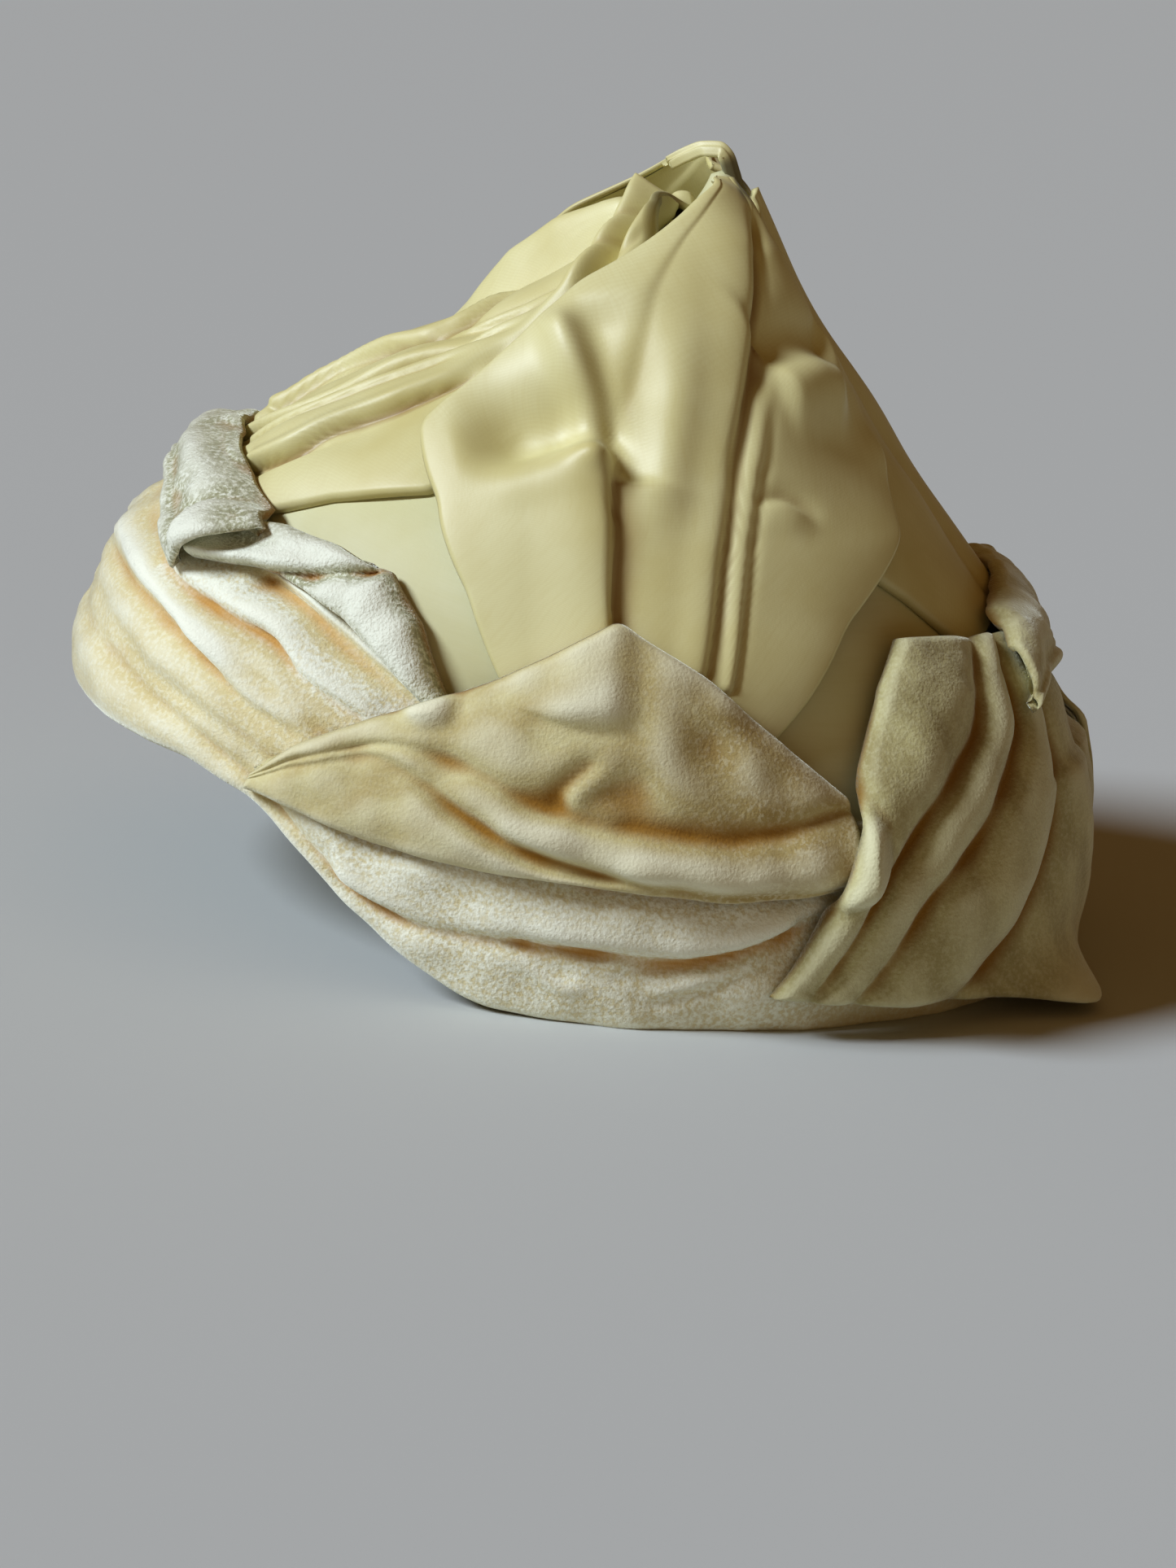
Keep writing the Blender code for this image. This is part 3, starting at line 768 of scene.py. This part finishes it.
# Each velvet's first colour also paints highlights on ridges and glints on lit locks, its third darker
# patches and the painted shade of unlit locks, its fourth painted shade in creases; its fifth is wear,
# and on the band crushed nap and painted light
BAND_VELVET = velvet("crushed_silk_velvet", "#F8F9E4", "#E8DEB2", "#DACB96", "#C79A54", "#ECEEDC", 0.38)
LEAF_VELVET = velvet("grey_crushed_velvet", "#F0F2DE", "#CBCCAE", "#A09E7A", "#A8762C", "#D4D2B0", 1.0)
PETAL_VELVET = velvet("worn_beige_velvet", "#EAE6C6", "#D9D09E", "#C2B27C", "#A2782C", "#A88E50", 0.14)
# The back velvet is darker and greyer all over: painted shade for the back of the hat, away from the
# window
BACK_VELVET = velvet("shaded_velvet", "#DAD7B0", "#C8C290", "#A89D6C", "#936C20", "#BCB280", 0.3)
print("velvets:", BAND_VELVET.name, LEAF_VELVET.name, PETAL_VELVET.name, BACK_VELVET.name)

# %% [markdown]
# ## The foundation cap
#
# Under the drapery is a stiff pointed cap, covered in plain satin pulled tight. It shows between the
# drape and the velvet, and behind the panels. It is one grid bent round the skin from its lower edge
# to the point, with its seam and its tip merged.

# %% Foundation cap
CapEdge = namedtuple("CapEdge", "angle height")
CAP_EDGE = table(CapEdge, (0, 44), (40, 43), (50, 38), (60, 24), (68, 13), (77, 5), (90, 3), (180, 3))
CAP_WALL = 2.0
# Over this many millimetres below its tip the cap's wall thins out, to this share
TIP_REACH = 25.0
TIP_WALL = 0.1
CAP_COLUMNS = 241
CAP_ROWS = 90

around, upward = np.linspace(-180, 180, CAP_COLUMNS), np.linspace(0, 1, CAP_ROWS)
angle, share = np.meshgrid(around, upward, indexing="ij")
low = np.interp(abs(angle), column(CAP_EDGE, "angle"), column(CAP_EDGE, "height"))
height = low + (PEAK_HEIGHT - low) * share
skin = cap_skin(angle, height)
skin[:, -1] = skin[:, -1].mean(axis=0)
cap = sheet_mesh("foundation_cap_satin", skin[:, ::-1])
for word in MARKS:
    mark(cap, word, np.zeros(angle.shape))
merge_seams(turn_out=True)
tip = cap.vertex_groups.new(name="wall")
for vertex in cap.data.vertices:
    share = (PEAK_HEIGHT - vertex.co.z / MM) / TIP_REACH
    tip.add([vertex.index], min(1.0, max(TIP_WALL, share)), "REPLACE")
thicken(cap, CAP_WALL, tip.name)
dress(cap, "foundation_cap", FLAT_IVORY, Cut(0.27, 0.24))
print(cap.name, "has", len(cap.data.polygons), "faces")

# %% [markdown]
# ## Front drape
#
# A length of satin is gathered in the front knot, runs up over the forehead in three long soft rolls
# and disappears under the side panels into the peak. The rolls are rows of the fold table, and each
# sharp crease between them has a listed path.

# %% Front drape
FRONT_DRAPE = table(
    Station,
    (0, 29, 83, 0, 0, -29, 83, 0, 5),
    (0.25, 43, 90, 0, 0, -43, 90, 0, 9),
    (0.5, 60, 95, 0, 0, -60, 95, 0, 15),
    (0.75, 68, 107, 0, 0, -68, 107, 0, 22),
    (1, 78, 123, 0, 0, -78, 123, 0, 29),
)
FRONT_DRAPE_FOLDS = table(
    Fold,
    ((0, 0, 0, 0, 0), (1, 1.2, 1.2, 1.2, 1)),
    ((0.2, 0.17, 0.21, 0.22, 0.2), (3, 4, 4, 3, 1)),
    ((0.42, 0.4, 0.36, 0.32, 0.28), (2.5, 3, 3.5, 2.5, 1), 0.2),
    ((0.58, 0.55, 0.47, 0.37, 0.38), (3, 4, 5, 4, 2), 0.3),
    ((0.66, 0.64, 0.58, 0.56, 0.6), (2.5, 3, 3, 2, 1)),
    ((0.8, 0.82, 0.79, 0.78, 0.8), (1, 1.2, 1.2, 1.2, 1)),
)
DRAPE_SIDE_CREASES = table(
    Crease,
    (((18, 88), (26, 94), (29, 100), (34, 106), (38, 112), (40, 116)),
     1.8, 5, 2.2, 1.5, 0.8, 0.02, 0.2),
    (((8, 90), (16, 99), (22, 106), (27, 112), (33, 118)), 1.4, 4, 1.6, 1.4, 0.6, 0.02, 0.3),
)
DRAPE_CREASES = DRAPE_SIDE_CREASES + table(
    Crease,
    (((-2, 88), (4, 94), (12, 104), (16, 110), (20, 114), (28, 120), (34, 124)),
     2, 4, 2.3, 1.5, 0.8, 0.02, 0.2),
    (((-8, 93), (-7, 102), (-2, 108), (6, 113), (16, 119), (24, 125)),
     2, 4, 2.2, 1.5, 0.8, 0.02, 0.2),
    (((46, 116), (46, 122), (46, 128), (42, 131), (38, 134), (30, 139.5), (22, 144), (12, 149.5)),
     (1, 4, 6, 8, 9), 10, 1.5, 1.8, 0, 0.1, 0.02, 1.1),
    (((12, 149.5), (22, 144), (30, 139.5), (38, 134), (46, 128)),
     (9, 8, 7, 5, 3), 10, 0.5, 1.8, 0, 0.02, 0.25, 1.1),
    (((-30, 108), (-26, 118), (-21, 127), (-14, 135), (-4, 142), (6, 146)),
     (1, 6, 11, 12, 10, 6), 14, 1, 3, 0, 0.1, 0.15, 3.5),
    (((4, 112), (6, 117), (2, 121), (-4, 126)), 1.6, 4, 2.2, 1.6, 0.5, 0.2, 0.3),
    (((-14, 108), (-12, 114), (-10, 120), (-8, 126)), 1.2, 4, 2, 1.8, 0.5, 0.2, 0.3),
)
# The drape's tip inside the hood, grey from handling
SOILED_TIP = Spot(40, 149, 16, 5, 0.85)
cloth(
    "front_drape", "satin", laid_out(FRONT_DRAPE, FRONT_DRAPE_FOLDS, 0.7), IVORY,
    Cut(0.15, 0.16, 0.0135),
    creases=DRAPE_CREASES, far_creases=DRAPE_SIDE_CREASES, roll=(1.5, 1.5, 0, 3),
    bumps=((11, 24, 0.25),), soil_and_painted_light=lambda angle, height: spot_at(SOILED_TIP, angle, height),
)

# %% [markdown]
# ## Back drape
#
# Behind, the satin is one smooth piece between the two side panels, with a shallow pleat.

# %% Back drape
BACK_DRAPE = table(
    Station,
    (0, 152, 69, 0, 0, 208, 69, 0, 4),
    (0.33, 144, 80, 0, 0.5, 216, 80, 0, 9),
    (0.66, 130, 93, 0, 1, 230, 93, 0, 20),
    (1, 106, 122, 0, 1, 254, 122, 0, 32),
)
BACK_DRAPE_FOLDS = table(
    Fold,
    ((0, 0, 0), (1.5, 2.5, 1), 0.2),
    ((0.35, 0.42, 0.4), (2, 3, 1.5), -0.2),
    ((0.68, 0.72, 0.7), (1.5, 2, 1)),
)
cloth(
    "back_drape", "satin", laid_out(BACK_DRAPE, BACK_DRAPE_FOLDS, 1.1), IVORY,
    Cut(0.14, 0.13, 0.0098),
    roll=(1.5, 1.5, 0, 0), bumps=((12, 26, 0.3),),
)

# %% [markdown]
# ## Velvet band
#
# One bias strip of velvet goes round the hem. At the front it is wide and twists up towards the knot
# in long ropes; at the sides two flat rolls lie one on the other; behind it runs under the panels.

# %% Velvet band
HEM = table(
    Station,
    (0, 0, 38, 9, 11, 0, 87, 3),
    (0.11, 20, 38, 8, 10, 20, 83, 3),
    (0.22, 40, 38, 5.5, 7.5, 40, 77, 1),
    (0.28, 50, 33, 3.5, 5, 50, 74.5, 1),
    (0.33, 60, 20, 2, 3, 60, 69.5, 0),
    (0.38, 68, 9, 0.5, 1.5, 68, 62, 0),
    (0.43, 77, 1, 0, 1, 77, 52, 0),
    (0.5, 90, -1, 0, 1, 90, 45, 0),
    (0.67, 120, -1, 0, 1, 120, 42, 0),
    (0.83, 150, -1, 0, 1, 150, 44, 0),
    (1, 180, -1, 0, 1, 180, 46, 0),
)
BAND_FOLDS = table(
    Fold,
    ((0, 0, 0, 0, 0, 0, 0, 0, 0, 0), (3.5, 3.5, 3, 2, 2.2, 2.4, 2.2, 2, 1, 1), 0.2),
    ((0.34, 0.3, 0.18, 0.09, 0.36, 0.4, 0.6, 0.6, 0.6, 0.6),
     (1.2, 1.2, 1.4, 2.2, 3, 2.8, 2.5, 2, 1, 1), 0.2),
    ((0.46, 0.4, 0.29, 0.32, 0.64, 0.66, 0.7, 0.7, 0.7, 0.7),
     (1.8, 2, 1.8, 2.2, 2, 2, 2, 1, 1, 1)),
    ((0.61, 0.6, 0.53, 0.6, 0.82, 0.84, 0.84, 0.84, 0.8, 0.8),
     (2, 2.2, 2.4, 2.4, 1, 1, 1, 1, 1, 1), -0.6),
    ((0.8, 0.76, 0.76, 0.82, 0.93, 0.94, 0.94, 0.94, 0.9, 0.9),
     (1.4, 1.4, 2.2, 2.2, 1, 1, 1, 1, 1, 1), -0.3),
)
BAND_CREASES = table(
    Crease,
    (((1, 66), (11, 66), (24, 65), (34, 62), (41, 58), (48, 53), (57, 49)),
     2.4, 5, 1.6, 1.6, 0.8, 0.1, 0.05),
    (((22, 56), (30, 53), (38, 50), (47, 45), (53, 42)), 1.6, 7, 1, 3, 0, 0.3, 0.05, 2.5),
    (((18, 52), (26, 50), (32, 48), (39, 45), (48, 40)), 1, 5, 0.8, 3, 0, 0.3, 0.05, 2),
    (((22, 71), (32, 68), (40, 66.5), (48, 65), (54, 60), (64, 54)),
     2.2, 6, 1.8, 1.8, 0.8, 0.1, 0.05),
    (((40, 75), (50, 72), (56, 68.5), (62, 64.5), (70, 58)), 0.5, 2, 4, 3.2, 0, 0.1, 0.05),
    (((59, 25), (65, 20), (72, 17), (84, 17), (98, 16), (106, 18), (114, 24)),
     2, 7, 1.6, 1.6, 0.8, 0.05, 0.05),
    (((88, 7), (92, 12), (98, 14), (103, 16), (109, 20), (114, 24)), 1.2, 5, 1.2, 1.8),
    (((96, 6), (101, 9), (105, 12), (109, 16), (113, 21)), 1.2, 4, 1, 1.6),
    (((93, 14), (88, 10), (84, 13), (80, 17)), 1, 4, 1, 1.8),
)


def crushed_nap_and_painted_light(angle, height):
    """The band's crushed grey strip beside the leaf, and its lowest roll made paler as painted light.
    """
    turn = abs(angle)
    middle = np.interp(turn, (26, 40, 46, 50, 54, 60, 66), (71, 69.5, 68, 66, 62, 58, 55))
    strip = np.exp(-(((height - middle) / 3.5) ** 4)) * ((turn > 26) & (turn < 70))
    # The lowest roll faces down and away from the light, so it is painted paler: painted light
    low = ramp(turn, 52, 10) * ramp(-turn, -122, 10) * (height < 34)
    return np.maximum(strip, 0.6 * low)


layout = both_halves(laid_out(HEM, BAND_FOLDS, 1.0, crowd_ends=False))
cloth(
    "velvet_band", "velvet", layout, BAND_VELVET, Cut(0.075, 0.58),
    creases=BAND_CREASES, roll=(2.2, 1.5, 0, 0), bumps=((21, 16, 0.3), (22, 5, 0.06)),
    ring=True, far_creases=BAND_CREASES, soil_and_painted_light=crushed_nap_and_painted_light,
)

# %% [markdown]
# ## Side panels
#
# Each side panel is a kite of satin. Its front edge stands well off the cap, so the two panels make a
# hood in front of the peak. Three long pleats run down its back half to a point under the petal, and a
# broad soft dent crosses its front half where the cloth hangs free.

# %% Side panels
SIDE_PANEL = table(
    Station,
    (0, 76, 156, 3, 3, 104, 156, 3),
    (0.08, 84, 149.5, 11, 8, 121, 147.5, 6),
    (0.16, 76, 143.5, 13, 9.5, 128, 143, 6.5),
    (0.24, 68, 136, 13.5, 11.5, 134, 138.5, 7),
    (0.37, 57, 126, 13.5, 12, 146, 128, 7),
    (0.5, 53.5, 113, 11.5, 9.5, 152, 113, 6),
    (0.62, 52.5, 101.5, 8.5, 6, 151, 101.5, 6),
    (0.74, 64.5, 92.3, 5, 4.5, 144.5, 89, 6),
    (0.87, 73.5, 79, 2.5, 2.8, 127, 76.5, 3),
    (1, 80, 61, 1, 2, 109, 54, 1),
)
SIDE_PANEL_FOLDS = table(
    Fold,
    ((0, 0, 0, 0, 0), (0.3, 0.5, 1.2, 1.2, 1), 0.8),
    ((0.1, 0.2, 0.33, 0.37, 0.41), (0, 0.3, 0.4, 0.5, 0.5), 0.4),
    ((0.6, 0.72, 0.61, 0.58, 0.76), (0.3, 0.8, 1.5, 1, 0.5)),
)
PANEL_CREASES = table(
    Crease,
    (((92, 62), (93, 76), (93, 88), (91, 98), (88.5, 105)), 2.2, 16, 0.8, 0.9, 1, 0, 0.1),
    (((91, 98), (89, 105), (84, 111), (76, 116), (68, 120), (60, 123)),
     3.2, 11, 3.5, 9, 0, 0.12, 0.2, 2.4),
    (((91, 108.5), (84, 107), (77, 105), (70, 102), (63, 98.5)), 2, 16, 8.2, 9.5, 0, 0.2, 0.4, 6),
    (((104, 68), (109, 86), (112, 100), (112, 114), (112, 128), (110, 139), (112, 149)),
     1, 8, (1, 1.2, 1.6, 2, 1.2), 1.1, 0.6, 0, 0.1),
    (((107, 66), (113, 86), (116, 97), (118, 106), (119, 116)), 1.4, 3.4, 1, 1.1, 0.6, 0, 0.3),
    (((82, 128), (88, 118), (93.5, 108), (96, 98), (96, 88)), 1.7, 12, 0.5, 4, 0, 0.45, 0.35, 3),
    (((146, 121), (130, 123), (114, 121)), 3.2, 22, 4.5, 7, 0, 0.15, 0.1, 5),
    (((128, 92), (124, 95.5), (120, 97), (115, 97)), 0.9, 8, 1, 3, 0, 0.45, 0.4),
)
# The far panel hangs smoother
FAR_PANEL_CREASES = (PANEL_CREASES[0], PANEL_CREASES[3], PANEL_CREASES[4], PANEL_CREASES[6])
PANEL_DENTS = (Spot(115.5, 117.5, 1.8, 3, -1.6), Spot(150, 103, 7, 5, 2.0))
# The right panel's front edge stands this much further out, about this place along it and this far
RIGHT_EDGE_STAND = 7.0
RIGHT_EDGE_MIDDLE = 0.28
RIGHT_EDGE_REACH = 0.25


def right_panel(row):
    """A station of the right panel, whose front edge stands further out along its upper half."""
    share = math.exp(-(((row.along - RIGHT_EDGE_MIDDLE) / RIGHT_EDGE_REACH) ** 4))
    return row._replace(a_stand=row.a_stand + RIGHT_EDGE_STAND * share)


def soiled_seam(angle, height):
    """The seam at the back of the peak, grey from handling."""
    return 0.8 * ramp(height, 147, 3) * ramp(angle, 98, 5)


def side_panel(word, side):
    stations = SIDE_PANEL if side > 0 else [right_panel(row) for row in SIDE_PANEL]
    creases, dents = (PANEL_CREASES, PANEL_DENTS) if side > 0 else (FAR_PANEL_CREASES, ())
    cloth(
        "side_panel_" + word, "satin", laid_out(stations, SIDE_PANEL_FOLDS, 0.72), IVORY,
        Cut(0.125, 0.135, 0.0115),
        side, creases, dents, roll=(1.3, 1.3, 1, 1), bumps=((31 + side, 30, 0.35),), soil_and_painted_light=soiled_seam,
    )


print("panel creases:", len(PANEL_CREASES))

# %% [markdown]
# ## Front leaves, side petals and back panels
#
# Three velvet pieces follow each other round each side, each over the end of the one before. The leaf
# comes out of the knot as a rolled strip with a blade under it. The petal is wide, with a thick soft
# roll along its middle. The back panel fans out from the back knot in long diagonal folds and ends in a
# small pointed tail.

# %% Front leaves
FRONT_LEAF = table(
    Station,
    (0, 33, 72.5, 6, 6, 31, 80, 6),
    (0.2, 43, 75.5, 5, 5, 42, 83, 4),
    (0.4, 51, 73.5, 5, 4, 52, 82.5, 3),
    (0.6, 58, 70.5, 5, 4, 62, 80.5, 2),
    (0.8, 64, 65.5, 5, 4, 68, 73, 2),
    (1, 71, 57.5, 5, 4, 73, 59, 3),
)
FRONT_LEAF_FOLDS = table(
    Fold,
    ((0, 0, 0, 0, 0, 0), (1, 1, 1.5, 2.5, 3, 1), 0.3),
    ((0.25, 0.4, 0.66, 0.92, 0.94, 0.94), (1.5, 2, 2, 1, 0.5, 0.3)),
)
LEAF_CREASES = table(
    Crease,
    (((32, 72), (40, 74), (52, 77), (61, 80)), (2.5, 2.5, 2.5, 1.5), 6.5, 2.4, 2, 1, 0.05, 0.05),
)


def front_leaf(word, side):
    cloth(
        "front_leaf_" + word, "velvet", laid_out(FRONT_LEAF, FRONT_LEAF_FOLDS, 0.6), LEAF_VELVET,
        Cut(0.035, 0.085, 0.0016), side,
        LEAF_CREASES, roll=(1.6, 2, 2, 1), bumps=((41 + side, 9, 0.2), (43 + side, 3, 0.05)),
    )


print("leaf stations:", len(FRONT_LEAF))

# %% Side petals
SIDE_PETAL = table(
    Station,
    (0, 49, 37, 8, 8, 50, 40, 8),
    (0.12, 56, 35.5, 8, 7, 56, 48, 7),
    (0.25, 65, 32, 7, 7, 64, 55, 5),
    (0.42, 78, 30, 7, 6, 78, 65, 3),
    (0.55, 87, 30, 7, 5, 86, 71, 3),
    (0.65, 94, 29, 7, 5, 94, 77, 3),
    (0.78, 104, 28, 7, 5, 104, 68, 3),
    (0.9, 112, 29, 7, 6, 112, 57, 3),
    (1, 119, 31, 7, 7, 119, 47, 4),
)
SIDE_PETAL_FOLDS = table(
    Fold,
    ((0, 0, 0, 0, 0, 0, 0, 0, 0), (0.5, 2, 2, 2, 1, 0.5, 0.5, 0.5, 0.5)),
    ((0.6, 0.66, 0.72, 0.36, 0.14, 0.06, 0.05, 0.05, 0.05),
     (0.5, 1, 1.5, 3, 4, 4, 4, 3.5, 3), -0.4),
    ((0.72, 0.76, 0.78, 0.6, 0.36, 0.26, 0.29, 0.44, 0.85),
     (0.5, 1.5, 2, 3, 4, 4, 4, 3, 1), -0.2),
)
PETAL_CREASES = table(
    Crease,
    (((94, 31), (86, 32), (82, 34), (78, 37), (74, 41), (71, 45), (66, 49)),
     0.5, 5, 1.5, 6, 0, 0.1, 0.3),
    (((91, 53), (88, 50), (86, 46), (87, 43)), 1.2, 5, 2, 2.5, 0, 0.2, 0.2),
)
PETAL_DENTS = table(
    Spot, (92, 48, 4, 4, -1.8), (97, 60, 2.5, 7, 0.8), (103, 56, 2, 7, -0.9), (107, 54, 2, 6, 0.7)
)
RUBBED = Spot(91, 47, 2.5, 3, 0.5)


def worn_patches(angle, height):
    """Where the petal's pile has rubbed off: most of its back half, in blotches."""
    blotches = 0.5 + 0.5 * np.sin(angle * 0.55 + 2) * np.sin(height * 0.45 + angle * 0.2)
    back = ramp(angle, 92, 14)
    return 0.35 * back + 0.55 * back * blotches + spot_at(RUBBED, angle, height)


def side_petal(word, side):
    cloth(
        "side_petal_" + word, "velvet", laid_out(SIDE_PETAL, SIDE_PETAL_FOLDS, 0.8), PETAL_VELVET,
        Cut(0.065, 0.125, 0.006), side,
        PETAL_CREASES, PETAL_DENTS, roll=(2.2, 2.2, 2, 2),
        bumps=((51 + side, 12, 0.25), (53 + side, 4, 0.04)), soil_and_painted_light=worn_patches,
    )


print("petal stations:", len(SIDE_PETAL))

# %% Back panels
BACK_PANEL = table(
    Station,
    (0, 135, 74, 3, 3, 179.8, 66, 1),
    (0.12, 128, 66, 3, 3, 179.8, 62, 0),
    (0.35, 121, 52, 4, 3, 179.8, 50, 0),
    (0.55, 117, 38, 5, 4, 179.8, 36, 0),
    (0.75, 115, 27, 7, 5, 179.8, 22, 0),
    (0.9, 112, 15, 7, 6, 179.8, 10, 0),
    (1, 110, 9, 7, 7, 179.8, 1, 0),
)
BACK_PANEL_FOLDS = table(
    Fold,
    ((0, 0, 0, 0, 0), (2, 4, 5, 4, 1), 0.1),
    ((0.33, 0.3, 0.14, 0.07, 0.06), (3, 5, 5, 4, 2)),
    ((0.42, 0.44, 0.31, 0.18, 0.13), (3, 5, 6, 6, 3), 0.2),
    ((0.54, 0.58, 0.55, 0.46, 0.32), (2, 4, 4, 4, 4), 0.3),
    ((0.74, 0.8, 0.8, 0.82, 0.82), (1, 2, 2, 1.5, 1)),
)
TAIL = Spot(152, 2, 7, 9, 13.0)


def back_panel(word, side):
    cloth(
        "back_panel_" + word, "velvet", laid_out(BACK_PANEL, BACK_PANEL_FOLDS, 0.85), BACK_VELVET,
        Cut(0.105, 0.11, 0.0102), side,
        dents=(TAIL,), roll=(2.2, 1.5, 2, 2), bumps=((61 + side, 12, 0.25), (63 + side, 4, 0.04)),
    )


for word, side in (("left", 1), ("right", -1)):
    for lay in (side_panel, front_leaf, side_petal, back_panel):
        lay(word, side)

# %% [markdown]
# ## Knots and the peak
#
# Two short folded straps of velvet cover the gathers. At the top a pinch of satin is turned over the
# point of the cap.

# %% Knots
FRONT_KNOT = table(
    Station,
    (0, 31, 69, 3, 7, 43, 80, 2),
    (0.15, 22, 74, 4, 9, 35, 85, 2),
    (0.32, 12, 78, 4, 10, 20, 89, 2),
    (0.5, 0, 80, 4, 10, 0, 91, 2),
    (0.68, -12, 78, 4, 10, -20, 89, 2),
    (0.85, -22, 74, 4, 9, -35, 85, 2),
    (1, -31, 69, 3, 7, -43, 80, 2),
)
BACK_KNOT = table(
    Station,
    (0, 149, 56, 10, 10, 152, 67, 8),
    (0.2, 158, 60, 7, 9, 158, 74, 5),
    (0.5, 180, 61, 5, 6, 180, 77, 3),
    (0.8, 202, 60, 7, 9, 202, 74, 5),
    (1, 211, 56, 10, 10, 208, 67, 8),
)
KNOT_FOLDS = table(Fold, ((0, 0, 0), (1, 1, 1)), ((0.22, 0.2, 0.22), (1.5, 1.8, 1.5)))
KNOT_WALL = 2.4
for node, stations, cell, finish, length, rests_on, seed in (
    ("front_knot", FRONT_KNOT, 0.55, LEAF_VELVET, 0.125, ["velvet_band", "front_drape"], 71),
    ("back_knot", BACK_KNOT, 0.6, BACK_VELVET, 0.095, ["back_panel_left", "back_panel_right"], 73),
):
    cloth(
        node, "velvet", laid_out(stations, KNOT_FOLDS, cell), finish, Cut(0.03, length),
        roll=(2.2, 2.2, 1.5, 1.5), bumps=((seed, 9, 0.25), (seed + 1, 3, 0.05)),
        wall=KNOT_WALL,
    )

# %% Peak pinch
# The strip's middle line over the peak, from the hood in front to the seam behind, and its half width
PinchStep = namedtuple("PinchStep", "x y z half")
PEAK_PINCH = table(
    PinchStep,
    (1, 5.5, 158.5, 1.2), (4.5, 4, 161, 2.2), (8, 2.2, 162.8, 2.5), (11.5, 0.8, 163.2, 2.3),
    (14, 0, 161.6, 2), (15.8, 0, 158, 2), (17.6, 0, 153.5, 2), (19.8, 0, 148.5, 1.6),
)
# How far the strip's edges hang, and how high its small ripples are
PINCH_DROP = 2.4
PINCH_RIPPLE = 0.36
PINCH_RIPPLES = 9.0
PINCH_WALL = 1.2
SIDEWAYS = np.array((0.0, 1.0, 0.0))

steps = np.linspace(0, 1, len(PEAK_PINCH))
t = np.linspace(0, 1, 60)
middle = np.stack([smooth(t, steps, column(PEAK_PINCH, axis)) for axis in "xyz"], -1)
half = smooth(t, steps, column(PEAK_PINCH, "half"))
forward = np.gradient(middle, axis=0)
forward /= np.linalg.norm(forward, axis=1, keepdims=True)
outward = np.cross(forward, SIDEWAYS)
across = np.linspace(-1, 1, 25)
stand = PINCH_RIPPLE * np.cos(across * PINCH_RIPPLES) - PINCH_DROP * across**2
points = (
    middle[:, None]
    + across[None, :, None] * half[:, None, None] * SIDEWAYS
    + stand[None, :, None] * outward[:, None]
)
points[..., 0] += SLIDE
pinch = sheet_mesh("peak_pinch_satin", points[:, ::-1])
for word, values in zip(MARKS, (0 * t, 0 * t, 0.8 * ramp(t, 0.55, 0.1))):
    mark(pinch, word, np.repeat(values, len(across)))
thicken(pinch, PINCH_WALL)
dress(
    pinch, "peak_pinch", IVORY, Cut(0.010, 0.038, 0.00032),
)

# %% [markdown]
# ## Floor and light
#
# A plain pale floor fills the picture. Soft light comes from the upper left, as from a large window in
# front of the hat, with a weak warm fill from the camera's side and a warm surround.

# %% Floor
FLOOR_SIZE = 40.0
bpy.ops.mesh.primitive_plane_add(size=FLOOR_SIZE)
floor = bpy.context.object
floor.name = "floor"
paper = bpy.data.materials.new("matt_grey_paper")
paper.use_nodes = True
shader = paper.node_tree.nodes["Principled BSDF"]
shader.inputs["Base Color"].default_value = linear("#CACDC9")
shader.inputs["Roughness"].default_value = 0.9
floor.data.materials.append(paper)
print("floor:", FLOOR_SIZE, "m")

# %% Lights
# Each sun's direction, its strength, how soft it is as the angle it fills in the sky, and its colour
Sun = namedtuple("Sun", "name place strength softness colour")
SUNS = (
    Sun("window", (-1.0, -0.37, 0.82), 2.95, 18.0, "#E4EFFF"),
    Sun("fill", (0.2, -1.0, 0.2), 0.12, 60.0, "#FFDDB0"),
)
for sun in SUNS:
    bpy.ops.object.light_add(type="SUN", location=sun.place)
    light = bpy.context.object
    light.name = sun.name
    light.rotation_euler = Vector(sun.place).to_track_quat("Z", "Y").to_euler()
    light.data.energy = sun.strength
    light.data.angle = math.radians(sun.softness)
    light.data.color = linear(sun.colour)[:3]
world = bpy.data.worlds.new("studio")
world.use_nodes = True
surround = world.node_tree.nodes["Background"]
surround.inputs["Color"].default_value = linear("#F0B870")
surround.inputs["Strength"].default_value = 0.13
bpy.context.scene.world = world
bpy.context.scene.view_settings.view_transform = "Standard"
bpy.context.scene.view_settings.look = "Medium High Contrast"
print("suns:", [sun.name for sun in SUNS])
